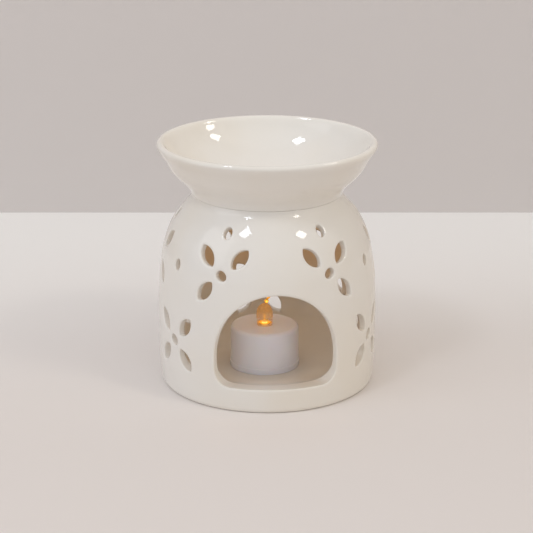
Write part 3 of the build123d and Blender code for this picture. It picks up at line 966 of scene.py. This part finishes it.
    def _pair(self, v: float) -> Skins:
        """The two skins at a height of the sheet.

        Args:
            v: The height on the sheet.

        Returns:
            The outer point, the inner point and the normal at each.
        """
        top, level = self.wall_high - self.wall_low, np.array([1.0, 0.0])
        if v < 0 or v > top:
            pairs = self.foot_pairs if v < 0 else self.lip_pairs
            place = (v / self.row + len(pairs) - 1) if v < 0 else (v - top) / self.row
            i = int(np.clip(math.floor(place + self.row_slack), 0, len(pairs) - 2))
            share = min(max(place - i, 0.0), 1.0)
            outer, inner = (1 - share) * np.array(pairs[i]) + share * np.array(pairs[i + 1])
            return outer, inner, level, level
        length = self.wall_low + v
        outer, normal = self.outer.at(length), self.outer.normal(length)
        if outer[1] < self.floor_z + self.cove_h:
            return outer, self._cove(self._cove_share(outer[1])), normal, level
        return outer, self._behind(length), normal, normal

    def arch_half_width(self, height: float) -> float:
        """Half the arch's width above its spring line, along the wall."""
        share = (height - self.arch_spring_z) / (self.arch_top_z - self.arch_spring_z)
        return self.arch_half * math.sqrt(max(0.0, 1 - share ** 2))

    def arch(self) -> list[Point]:
        """The arch's outline.

        Returns:
            Points on the sheet, round from the right end of the sill.
        """
        corner_r, corner_steps = self.arch_corner_r, self.arch_corner_steps
        run, crown = self.arch_half - corner_r, self.arch_top_z - self.arch_spring_z
        turns = [math.pi / 2 * i / corner_steps for i in range(corner_steps + 1)]
        right = [(run + corner_r * math.sin(a), self.sill_z + corner_r * (1 - math.cos(a))) for a in turns]
        turns = [math.pi * i / self.arch_steps for i in range(self.arch_steps + 1)]
        over = [(self.arch_half * math.cos(a), self.arch_spring_z + crown * math.sin(a)) for a in turns]
        outline = right + over + [(-x, z) for x, z in reversed(right)]
        return [(x, self.v_at(z)) for x, z in outline]

    def leaf(self) -> list[Point]:
        """A pointed leaf with rounded tips.

        Returns:
            Its outline, upright about the origin.
        """
        half_l, half_w, tip = self.leaf_l / 2, self.leaf_w / 2, self.leaf_tip_r
        side_r = (half_l ** 2 + half_w ** 2) / (2 * half_w)
        centre = side_r - half_w
        tip_y = math.sqrt((side_r - tip) ** 2 - centre ** 2)
        turn = math.degrees(math.atan2(tip_y, centre))
        half = arc((-centre, 0), side_r, -turn, turn, self.leaf_steps)
        half += arc((0, tip_y), tip, turn, 180 - turn, self.leaf_tip_steps)[1:-1]
        return half + [(-x, -y) for x, y in half]

    def ellipse(self, size: Point) -> list[Point]:
        """An upright ellipse about the origin."""
        turns = [2 * math.pi * i / self.oval_steps for i in range(self.oval_steps)]
        return [(size[0] / 2 * math.cos(a), size[1] / 2 * math.sin(a)) for a in turns]

    def placed(self, shape: Sequence[Point], azimuth: float, height: float, tilt: float) -> list[Point]:
        """Turns a shape and sets it on the sheet, at its true size once wrapped.

        Args:
            shape: Its outline about the origin.
            azimuth: Where it goes round the pot, in degrees from the arch.
            height: Where it goes up the pot.
            tilt: How far it turns, in degrees.

        Returns:
            The outline on the sheet.
        """
        length, a = self.outer.length_at(height), math.radians(tilt)
        stretch = self.belly_r / self.outer.at(length)[0]
        u, v = math.radians(azimuth) * self.belly_r, length - self.wall_low
        return [(u + stretch * (x * math.cos(a) - y * math.sin(a)), v + x * math.sin(a) + y * math.cos(a))
                for x, y in shape]

    def motif(self, azimuth: float, height: float) -> list[list[Point]]:
        """Four leaves that lean away from an oval, which is upright at the back.

        Args:
            azimuth: Where its oval goes round the pot, in degrees from the arch.
            height: Where it goes up the pot.

        Returns:
            The outlines on the sheet, without any leaf that would run into the arch.
        """
        tilt = 0.0 if math.isclose(azimuth, BACK) else -self.oval_tilt
        cuts = [self.placed(self.ellipse(self.oval), azimuth, height, tilt)]
        for side in (-1, 1):
            for rise in (self.leaf_rise, -self.leaf_rise):
                z = height + rise
                radius = self.outer.at(self.outer.length_at(z))[0]
                at = azimuth + side * math.degrees(self.leaf_out / radius)
                tilt = self.leaf_tilt if side * rise < 0 else -self.leaf_tilt
                run = abs(math.radians(at)) * self.belly_r
                near = self.arch_half_width(max(self.arch_spring_z, z - self.leaf_l / 2)) + self.arch_margin
                if z >= self.arch_top_z + self.leaf_w / 2 or run >= near + self.leaf_w / 2:
                    cuts.append(self.placed(self.leaf(), at, z, tilt))
        return cuts

    def openings(self) -> list[list[Point]]:
        """Every opening of the half of the pot from the arch round to the back.

        Returns:
            Their outlines on the sheet.
        """
        cuts = [self.arch()]
        for i in range(self.upper_count // 2):
            azimuth = self.upper_first + i * 360 / self.upper_count
            cuts += self.motif(azimuth, self.upper_z)
            cuts.append(self.placed(self.ellipse(self.shoulder_dot), azimuth, self.shoulder_dot_z, 0))
        step = (360 - 2 * self.lower_first) / (self.lower_count - 1)
        for i in range((self.lower_count + 1) // 2):
            azimuth = self.lower_first + i * step
            cuts += self.motif(azimuth, self.lower_z)
            cuts.append(self.placed(self.ellipse(self.waist_dot), azimuth, self.upper_z, 0))
        return cuts

    def sheet(self) -> bpy.types.Object:
        """Cuts the flat sheet and slices it into columns and rows.

        Returns:
            The sheet of half the pot, in millimetres, with its skins at half a wall over and under w = 0.
        """
        low, wall_top = -self.row * (len(self.foot_pairs) - 1), self.wall_high - self.wall_low
        high = wall_top + self.row * (len(self.lip_pairs) - 1)
        half_turn, half_wall, spare = math.pi * self.belly_r, self.wall / 2, self.sheet_spare
        left, right, bottom, top = -self.arch_half - spare, half_turn + spare, low - spare, high + spare
        border = [(left, bottom), (right, bottom), (right, top), (left, top)]
        sheet = curve_mesh("pot", [border, *self.openings()], True, fill_mode="BOTH",
                           bevel_depth=self.edge_reach, bevel_resolution=self.edge_steps,
                           extrude=half_wall - self.edge_reach, offset=-self.edge_reach)
        for vertex in sheet.data.vertices:
            outer = vertex.co.z > 0
            sunk = (half_wall - abs(vertex.co.z)) / self.edge_reach
            sunk *= self.edge_round if outer else self.edge_round_in
            vertex.co.z = math.copysign(half_wall - sunk, 1 if outer else -1)
        columns = [half_turn * i / self.half_turn_steps for i in range(self.half_turn_steps + 1)]
        rows = [low + self.row * i for i in range(len(self.foot_pairs))]
        rows += [wall_top * i / self.wall_steps for i in range(1, self.wall_steps)]
        rows += [wall_top + self.row * i for i in range(len(self.lip_pairs))]
        with editing(sheet):
            bpy.ops.mesh.remove_doubles(threshold=self.sheet_weld)
            for u in columns:
                self._slice((u, 0, 0), (1, 0, 0), u == columns[0], u == columns[-1])
            for v in rows:
                self._slice((0, v, 0), (0, 1, 0), v == rows[0], v == rows[-1])
        return sheet

    @staticmethod
    def _slice(place: tuple, across: tuple, first: bool, last: bool) -> None:
        """Cuts the sheet along a line, and trims it there if the line is the first or last."""
        bpy.ops.mesh.select_all(action="SELECT")
        bpy.ops.mesh.bisect(plane_co=place, plane_no=across, clear_inner=first, clear_outer=last)

    def sunk(self, u: float, v: float) -> float:
        """How far the sill's inner edge is drawn down, so that the sill runs smoothly into the hollow.

        Args:
            u: Place round the sheet.
            v: Height on the sheet.

        Returns:
            The drop along the sheet.
        """
        over = (v - self.v_at(self.sill_z)) / self.sill_reach
        along = min(max((self.arch_half + self.sill_reach - abs(u)) / self.arch_corner_r, 0.0), 1.0)
        return self.sill_sink * along ** 2 * (3 - 2 * along) * math.exp(-over ** 2)

    def wrap(self, sheet: bpy.types.Object) -> None:
        """Bends the flat sheet round the skins, in metres.

        Args:
            sheet: The sheet.
        """
        half_wall = self.wall / 2
        known: dict[float, Skins] = {}
        for vertex in sheet.data.vertices:
            u, v, w = vertex.co
            depth = half_wall - w
            if depth > half_wall:
                v -= self.sunk(u, v)
            level = round(v, self.level_digits)
            if level not in known:
                known[level] = self._pair(v)
            outer, inner, out_normal, in_normal = known[level]
            if depth < half_wall:
                radius, height = outer - depth * out_normal
            else:
                radius, height = inner + (self.wall - depth) * in_normal
            turn = u / self.belly_r
            vertex.co = Vector((radius * math.sin(turn), -radius * math.cos(turn), height)) * MM

    def build(self, glaze: bpy.types.Material) -> None:
        """Makes the pot and dresses it.

        Args:
            glaze: What it is covered with.
        """
        pot = self.sheet()
        self.wrap(pot)
        modify(pot, "MIRROR", use_axis=(True, False, False), use_clip=True, merge_threshold=MIRROR_WELD)
        with editing(pot):
            bpy.ops.mesh.remove_doubles(threshold=WELD)
            bpy.ops.mesh.normals_make_consistent(inside=False)
        pick(pot)
        bpy.ops.object.shade_smooth()
        modify(pot, "WEIGHTED_NORMAL", keep_sharp=True, weight=self.normal_weight)
        dress(pot, glaze, Body.BURNER, Slot.GLAZE, "burner_body")


@dataclass
class Dish:
    """The bowl that lifts off: its own turned shell, with the ring below that sits in the pot's mouth.

    Flare and hip are measured out from the neck and up from the seam, side and bowl_side in and down from the
    rim, and bowl_turn and bowl_hollow in from the rim and up from the dish's floor.
    """

    rim_r: float = 59.0
    rim_z: float = 133.6
    wall: float = 4.0
    neck_r: float = 41.0
    foot_way: Point = (0.15, 1.0)
    flare: Point = (3.6, 6.3)
    hip: Point = (10.7, 13.6)
    side: Point = (3.1, 7.4)
    rim_way: Point = (0.22, 1.0)
    edge_slope: float = 46.0
    bowl_side: Point = (5.6, 3.9)
    bowl_turn: Point = (13.0, 10.7)
    bowl_hollow: Point = (23.0, 3.7)
    under_drop: float = 0.6
    floor_t: float = 5.4
    floor_r: float = 20.0
    spigot_clearance: float = 0.6
    spigot_h: float = 3.4
    spigot_w: float = 3.4
    spigot_bevel: float = 0.8
    spigot_relief: float = 0.3

    turn_steps: int = 192
    bevel_steps: int = 3
    lip_steps: int = 5
    side_steps: int = 22
    rim_steps: int = 10
    bowl_steps: int = 34

    def _ring(self, pot: Pot, under_z: float) -> list[Point]:
        """The section of the underside and of the ring that centres the dish.

        Args:
            pot: The pot whose mouth the ring sits in.
            under_z: Height of the underside.

        Returns:
            Points from the axis out to the seam.
        """
        seam, bevel, steps = pot.seam_z, self.spigot_bevel, self.bevel_steps
        ring_out, foot_z = pot.mouth_r - self.spigot_clearance, seam - self.spigot_h
        ring_in = ring_out - self.spigot_w
        path = [(0.0, under_z), (ring_in / 2, under_z)]
        path += arc((ring_in - bevel, under_z - bevel), bevel, 90, 0, steps)
        path += arc((ring_in + bevel, foot_z + bevel), bevel, 180, 270, steps)
        path += arc((ring_out - bevel, foot_z + bevel), bevel, -90, 0, steps)
        return path + [(ring_out, seam - self.spigot_relief), (ring_out + self.spigot_relief, seam)]

    def profile(self, pot: Pot) -> list[Point]:
        """The dish's section.

        Args:
            pot: The pot that it sits on.

        Returns:
            Points from the axis under the dish round to the axis over it.
        """
        seam, lip, half = pot.seam_z, pot.lip_round, self.wall / 2
        under_z = seam - self.under_drop
        floor_z = under_z + self.floor_t
        path = self._ring(pot, under_z)
        path += arc((self.neck_r - lip, seam + lip), lip, -90, 0, self.lip_steps)
        outside = [(self.neck_r, seam + lip)]
        outside += [(self.neck_r + out, seam + up) for out, up in (self.flare, self.hip)]
        outside += [(self.rim_r - self.side[0], self.rim_z - self.side[1]), (self.rim_r, self.rim_z - half)]
        path += Sweep(outside, self.foot_way, self.rim_way).points(self.side_steps)[1:]
        edge = 90 + self.edge_slope
        path += arc((self.rim_r - half, self.rim_z - half), half, 0, edge, self.rim_steps)[1:]
        inward = (-math.sin(math.radians(edge)), math.cos(math.radians(edge)))
        bowl = [path[-1], (self.rim_r - self.bowl_side[0], self.rim_z - self.bowl_side[1])]
        bowl += [(self.rim_r - back, floor_z + up) for back, up in (self.bowl_turn, self.bowl_hollow)]
        bowl.append((self.floor_r, floor_z))
        path += Sweep(bowl, inward, (-1.0, 0.0)).points(self.bowl_steps)[1:]
        return path + [(self.floor_r / 2, floor_z), (0.0, floor_z)]

    def build(self, pot: Pot, glaze: bpy.types.Material) -> bpy.types.Object:
        """Makes the dish and dresses it.

        Args:
            pot: The pot that it sits on.
            glaze: What it is covered with.

        Returns:
            The dish.
        """
        dish = turned("dish", self.profile(pot), self.turn_steps)
        dress(dish, glaze, Body.DISH, Slot.GLAZE, "oil_dish")
        return dish


@dataclass
class Tealight:
    """The electric tealight's housing and its lit flame.

    The egg's points are shares of its height and of its foot's radius. The tip's points are radii, and
    heights over the egg. The wings and the streak of its painted glow are radii, and heights over the roof.
    """

    x: float = -1.5
    y: float = -1.0
    radius: float = 19.1
    top_r: float = 18.7
    height: float = 23.1
    wall: float = 1.2
    edge_r: float = 2.0
    small_r: float = 0.3
    dishing: float = 0.3
    band_h: float = 3.0
    band_proud: float = 0.25
    side_bow: float = 0.05
    fit: float = 0.1
    ledge_w: float = 0.5
    plate_z: float = 1.0
    plate_t: float = 1.4
    turn_steps: int = 128
    foot_in_steps: int = 2
    foot_out_steps: int = 3
    edge_steps: int = 8
    roof_steps: int = 10

    flame_foot_r: float = 3.9
    flame_body_h: float = 11.6
    egg: tuple[Point, ...] = ((0.0, 1.0), (0.10, 1.09), (0.28, 1.165), (0.55, 1.17), (0.78, 1.03),
                              (0.91, 0.80), (1.00, 0.50), (1.06, 0.27))
    egg_ways: tuple[Point, Point] = ((0.25, 1.0), (-0.35, 1.0))
    egg_steps: int = 30
    tip: tuple[Point, ...] = ((0.88, 0.85), (1.3, 1.8), (0.85, 2.6), (0.6, 2.95))
    tip_ways: tuple[Point, Point] = ((-0.6, 1.0), (-0.1, 1.0))
    tip_steps: int = 22
    tip_h: float = 3.6
    tip_r: float = 0.88
    tip_end_steps: int = 4
    blob_lean: Span = (0.02, 0.22)
    blob_shift: float = 1.05
    tail_lean: Span = (0.72, 0.48)
    tail_shift: float = 1.6
    flange_r: float = 5.7
    flange_t: float = 0.8
    flame_turn_steps: int = 48
    # Painted glow shapes inside the flame, which stand for the lamp's light in the lens.
    wings: tuple[Point, ...] = ((1.52, -0.2), (3.1, 1.3), (2.6, 1.35), (1.52, 0.9), (1.52, -0.2))
    streak: tuple[Point, ...] = ((0.0, 2.6), (0.45, 2.7), (0.40, 3.4), (0.75, 4.4), (0.50, 5.4), (0.12, 6.4),
                                 (0.0, 6.5))
    glow_turn_steps: int = 32

    def housing_profile(self, floor_z: float) -> list[Point]:
        """The housing's section.

        Args:
            floor_z: Height of the pot's floor.

        Returns:
            Points round to the start.
        """
        top_z, wall, edge, small = self.height, self.wall, self.edge_r, self.small_r
        hole_r, hole_z = self.flame_foot_r + self.fit, top_z - self.dishing
        inner_r, ceiling = self.top_r - wall, hole_z - wall
        ledge_r, ledge_z = self.radius - wall - self.fit - self.ledge_w, self.plate_z + self.plate_t
        path = arc((self.radius - wall + small, small), small, 180, 270, self.foot_in_steps)
        path += arc((self.radius - small, small), small, -90, 0, self.foot_out_steps)
        path += [(self.radius, self.band_h), (self.radius - self.band_proud, self.band_h + self.band_proud)]
        path.append((self.top_r + self.side_bow, (self.band_h + top_z) / 2))
        path += arc((self.top_r - edge, top_z - edge), edge, 0, 90, self.edge_steps)
        roof = Sweep([(self.top_r - edge, top_z), (hole_r + small, hole_z)], (-1.0, 0.0), (-1.0, 0.0))
        path += roof.points(self.roof_steps)[1:]
        path += [(hole_r, hole_z - small), (hole_r, ceiling), (inner_r - edge, ceiling)]
        path += [(inner_r, ceiling - edge), (ledge_r, ledge_z), (self.radius - wall, ledge_z), path[0]]
        return [(radius, z + floor_z) for radius, z in path]

    def flame_profile(self, roof_z: float) -> list[Point]:
        """The flame's section.

        Args:
            roof_z: Height of the housing's roof round the flame.

        Returns:
            Points from the axis below round to the tip.
        """
        foot_z, neck_z = roof_z - self.wall, roof_z + self.flame_body_h
        tip_z = neck_z + self.tip_h
        body = [(self.flame_foot_r * grow, roof_z + self.flame_body_h * share) for share, grow in self.egg]
        tip = [body[-1], *((radius, neck_z + rise) for radius, rise in self.tip), (self.tip_r, tip_z)]
        under_z = foot_z - self.flange_t
        path = [(0.0, under_z), (self.flange_r, under_z), (self.flange_r, foot_z)]
        path += [(self.flame_foot_r, foot_z)] + Sweep(body, *self.egg_ways).points(self.egg_steps)
        path += Sweep(tip, *self.tip_ways).points(self.tip_steps)[1:]
        return path + arc((0, tip_z), self.tip_r, 0, 90, self.tip_end_steps)[1:]

    def lean(self, flame: bpy.types.Object, neck_z: float) -> None:
        """Leans the flame's tip to the right.

        Args:
            flame: The flame, in metres.
            neck_z: Height of the top of its egg, in millimetres.
        """
        for vertex in flame.data.vertices:
            share = (vertex.co.z / MM - neck_z) / self.tip_h
            for (low, span), shift in ((self.blob_lean, self.blob_shift), (self.tail_lean, self.tail_shift)):
                vertex.co.x += shift * min(max((share - low) / span, 0.0), 1.0) * MM

    def build(self, pot: Pot, plastic: bpy.types.Material, flame_look: LitFlame) -> None:
        """Makes the housing and the flame and dresses them.

        Args:
            pot: The pot that the tealight stands in.
            plastic: What the housing is made of.
            flame_look: How the flame is lit.
        """
        centre, roof_z = (self.x, self.y), pot.floor_z + self.height - self.dishing
        housing = turned("tealight_housing", self.housing_profile(pot.floor_z), self.turn_steps, centre)
        dress(housing, plastic, Body.TEALIGHT, Slot.HOUSING, "tealight_shell")
        flame = turned("flame", self.flame_profile(roof_z), self.flame_turn_steps, centre)
        self.lean(flame, roof_z + self.flame_body_h)
        mark(flame, flame_look.painted_glow_mark, 0.0)
        # The painted glow shapes are turned, marked 1 and joined into the flame.
        for shape in (self.wings, self.streak):
            profile = [(radius, z + roof_z) for radius, z in shape]
            glow = turned("glow", profile, self.glow_turn_steps, centre)
            mark(glow, flame_look.painted_glow_mark, 1.0)
            join(flame, glow)
        foot = Vector((self.x, self.y, roof_z)) * MM
        look = flame_look.material(foot, self.flame_body_h)
        dress(flame, look, Body.TEALIGHT, Slot.FLAME, "flame_lens")


@dataclass(frozen=True)
class Softbox:
    """A square or oblong light that looks at the pot.

    Its angles are in degrees, from the front, from level and about its own axis. Its sides and distance
    are in metres, and a glow of 1 is white.
    """

    name: str
    azimuth: float
    elevation: float
    turn: float = 0.0
    sides: tuple[float, float] = (0.17, 0.17)
    distance: float = 1.15
    glow: float = 11.0
    tint: Colour = (1.0, 1.0, 1.0)
    reflects: bool = True
    aim_z: float = 0.08

    def hang(self) -> bpy.types.Object:
        """Hangs the light.

        Returns:
            The light.
        """
        azimuth, elevation, turn = (math.radians(a) for a in (self.azimuth, self.elevation, self.turn))
        data = bpy.data.lights.new(self.name, "AREA")
        data.shape = "RECTANGLE"
        data.size, data.size_y = self.sides
        data.energy = self.glow * math.pi * data.size * data.size_y
        data.color = self.tint
        light = bpy.data.objects.new(self.name, data)
        flat, rise = math.cos(elevation) * self.distance, math.sin(elevation) * self.distance
        target = Vector((0, 0, self.aim_z))
        light.location = target + Vector((flat * math.sin(azimuth), -flat * math.cos(azimuth), rise))
        facing = (target - light.location).to_track_quat("-Z", "Y")
        light.rotation_euler = (facing @ Quaternion((0, 0, 1), turn)).to_euler()
        light.visible_glossy = self.reflects
        bpy.context.scene.collection.objects.link(light)
        return light


@dataclass
class Studio:
    """Pale floor and wall, softboxes for the pot and others for the bowl, and the photographed camera.

    Its lengths are in metres. The sky is cool at the left and warm at the right, and so are the softboxes, by
    the side that their light comes from.
    """

    floor: Colour = linear(237, 230, 225)
    floor_far: Colour = linear(254, 252, 249)
    floor_near_y: float = -0.10
    wall: Colour = linear(213, 207, 204)
    wall_back: float = 0.32
    stage_size: float = 12.0
    stage_rough: float = 0.85
    stage_gloss: float = 0.2
    sky_front: float = 0.68
    sky_back: float = 0.50

    pot_boxes: tuple[Softbox, ...] = (
        Softbox("left_box", -41.0, 54.5, -30.0, tint=COOL_DAY),
        Softbox("right_box", 47.5, 48.0, 30.0, tint=WARM_DAY),
    )
    bowl_boxes: tuple[Softbox, ...] = (
        Softbox("left_bowl_box", 88.5, 51.5, 5.0, tint=WARM_DAY),
        Softbox("high_bowl_box", 76.2, 39.6, sides=(0.17, 0.09), tint=WARM_DAY),
        Softbox("right_bowl_box", -88.0, 67.5, 10.0, tint=COOL_DAY),
        Softbox("bowl_fill", 0.0, 85.0, sides=(0.6, 0.6), glow=1.1, reflects=False),
    )
    window: Softbox = Softbox("window", -72.0, 28.0, sides=(1.1, 1.1), distance=1.7, glow=0.8)
    chamber_size: float = 0.056
    chamber_drop: float = 0.002
    chamber_glow: float = 1.35
    chamber_tint: Colour = (1.0, 0.80, 0.60)

    camera_at: tuple[float, float, float] = (-0.0798, -0.9034, 0.3569)
    pitch: float = 17.985
    heading: float = -5.05
    focal_px: float = 1750.0
    image_px: float = 533.0
    shift_px: float = 0.72
    sensor: float = 36.0
    sight: float = 20.0
    pot_lights: list[bpy.types.Object] = field(default_factory=list)
    bowl_lights: list[bpy.types.Object] = field(default_factory=list)

    def camera(self) -> None:
        """Sets the camera where the photograph was taken from."""
        data = bpy.data.cameras.new("camera")
        data.sensor_width = self.sensor
        data.lens = self.sensor * self.focal_px / self.image_px
        data.shift_x = -self.shift_px / self.image_px
        data.clip_end = self.sight
        camera = bpy.data.objects.new("camera", data)
        camera.location = self.camera_at
        camera.rotation_euler = (math.radians(90 - self.pitch), 0, math.radians(self.heading))
        bpy.context.scene.collection.objects.link(camera)
        bpy.context.scene.camera = camera

    def sky(self) -> None:
        """Lights the scene from all round."""
        world = bpy.data.worlds.new("sky")
        bpy.context.scene.world = world
        shader = Shader(world)
        across, back, _ = shader.axes(shader.node("ShaderNodeTexCoord", output="Generated"))
        colour = shader.mix(across.rise(-1.0, 1.0), COOL_DAY, WARM_DAY)
        strength = self.sky_back + back.rise(1.0, -1.0) * (self.sky_front - self.sky_back)
        shader.finish(shader.node("ShaderNodeBackground", {}, {"Color": colour, "Strength": strength}))

    def chamber_light(self, pot: Pot) -> None:
        """Hangs the warm light that the lit flame sends up and the underside of the dish sends back down.

        Args:
            pot: The pot that is lit from inside.
        """
        data = bpy.data.lights.new("chamber_light", "AREA")
        data.shape = "DISK"
        data.size = self.chamber_size
        data.energy = self.chamber_glow * math.pi * math.pi * self.chamber_size ** 2 / 4
        data.color = self.chamber_tint
        light = bpy.data.objects.new("chamber_light", data)
        light.location = (0, 0, (pot.seam_z - pot.mouth_depth) * MM - self.chamber_drop)
        light.visible_glossy = False
        bpy.context.scene.collection.objects.link(light)

    def plain(self, name: str, near: Colour, far: Colour) -> bpy.types.Material:
        """A matt stage colour that can't be seen from behind.

        Args:
            name: The material's name.
            near: Its colour in front.
            far: Its colour at the wall.

        Returns:
            The material.
        """
        shader = Shader(bpy.data.materials.new(name))
        far_back = shader.axes(shader.place())[1].rise(self.floor_near_y, self.wall_back)
        matt = shader.principled(Base_Color=shader.mix(far_back, near, far), Roughness=self.stage_rough,
                                 Specular_IOR_Level=self.stage_gloss)
        clear = shader.node("ShaderNodeBsdfTransparent")
        behind = shader.node("ShaderNodeNewGeometry", output="Backfacing")
        return shader.finish(shader.node("ShaderNodeMixShader", {}, {0: behind, 1: matt, 2: clear}))

    def stage(self) -> None:
        """Lays the floor and stands the wall behind it."""
        bpy.ops.object.select_all(action="DESELECT")
        bpy.ops.mesh.primitive_plane_add(size=self.stage_size)
        floor = bpy.context.active_object
        floor.name = "floor"
        floor.data.materials.append(self.plain("floor paint", self.floor, self.floor_far))
        turn, back = math.radians(self.heading), self.wall_back
        bpy.ops.mesh.primitive_plane_add(size=self.stage_size, rotation=(math.radians(90), 0, turn),
                                         location=(-back * math.sin(turn), back * math.cos(turn), 0))
        wall = bpy.context.active_object
        wall.name = "wall"
        wall.data.materials.append(self.plain("wall paint", self.wall, self.wall))

    def build(self) -> None:
        """Sets up the whole studio."""
        bpy.context.scene.view_settings.view_transform = "Standard"
        self.sky()
        self.camera()
        self.pot_lights = [box.hang() for box in self.pot_boxes]
        self.bowl_lights = [box.hang() for box in self.bowl_boxes]
        self.window.hang()
        self.stage()

    def share_out(self, dish: bpy.types.Object) -> None:
        """Lets the bowl's boxes light the dish alone, and the pot's boxes all but the dish.

        Args:
            dish: The dish.
        """
        for lights, state in ((self.bowl_lights, "INCLUDE"), (self.pot_lights, "EXCLUDE")):
            lit = bpy.data.collections.new(f"dish {state.lower()}d")
            lit.objects.link(dish)
            lit.collection_objects[0].light_linking.link_state = state
            for light in lights:
                light.light_linking.receiver_collection = lit


def dress_nodes(looks: dict[Slot, bpy.types.Material]) -> None:
    """Gives every CAD node the material of its slot.

    Args:
        looks: The material for each slot.
    """
    slots = {part["node"]: part["material_slot"] for part in frame["record"]["subparts"]}
    for name, thing in frame["nodes"].items():
        look = looks[Slot(slots[name])]
        if not thing.data.materials:
            thing.data.materials.append(look)
        for i in range(len(thing.data.materials)):
            thing.data.materials[i] = look
        log.info("%s: %s", name, look.name)


def main() -> None:
    """Builds the studio and every piece, in order."""
    studio = Studio()
    studio.build()
    glaze = Glaze().material()
    housing = Moulded("housing plastic", linear(246, 245, 255), 0.07, subsurface=0.15).material()
    dress_nodes({
        Slot.GLAZE: glaze,
        Slot.HOUSING: housing,
        Slot.FLAME: Moulded("amber plastic", linear(230, 150, 60)).material(),
        Slot.CARRIER: Moulded("carrier plastic", linear(222, 222, 218), 0.5).material(),
        Slot.LAMP: LampGlow().material(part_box("led_lamp")[1].z / MM),
        Slot.WIRE: SheetMetal("tinned wire", linear(205, 205, 200), 0.3).material(),
        Slot.STRIP: SheetMetal("spring strip", linear(214, 190, 130), 0.25).material(),
        Slot.CELL: SheetMetal("cell steel", linear(200, 200, 202), 0.2).material(),
        Slot.GASKET: Moulded("gasket plastic", linear(60, 60, 62), 0.5).material(),
    })
    pot = Pot()
    pot.build(glaze)
    studio.share_out(Dish().build(pot, glaze))
    Tealight().build(pot, housing, LitFlame())
    studio.chamber_light(pot)


if __name__ == "__main__":
    main()
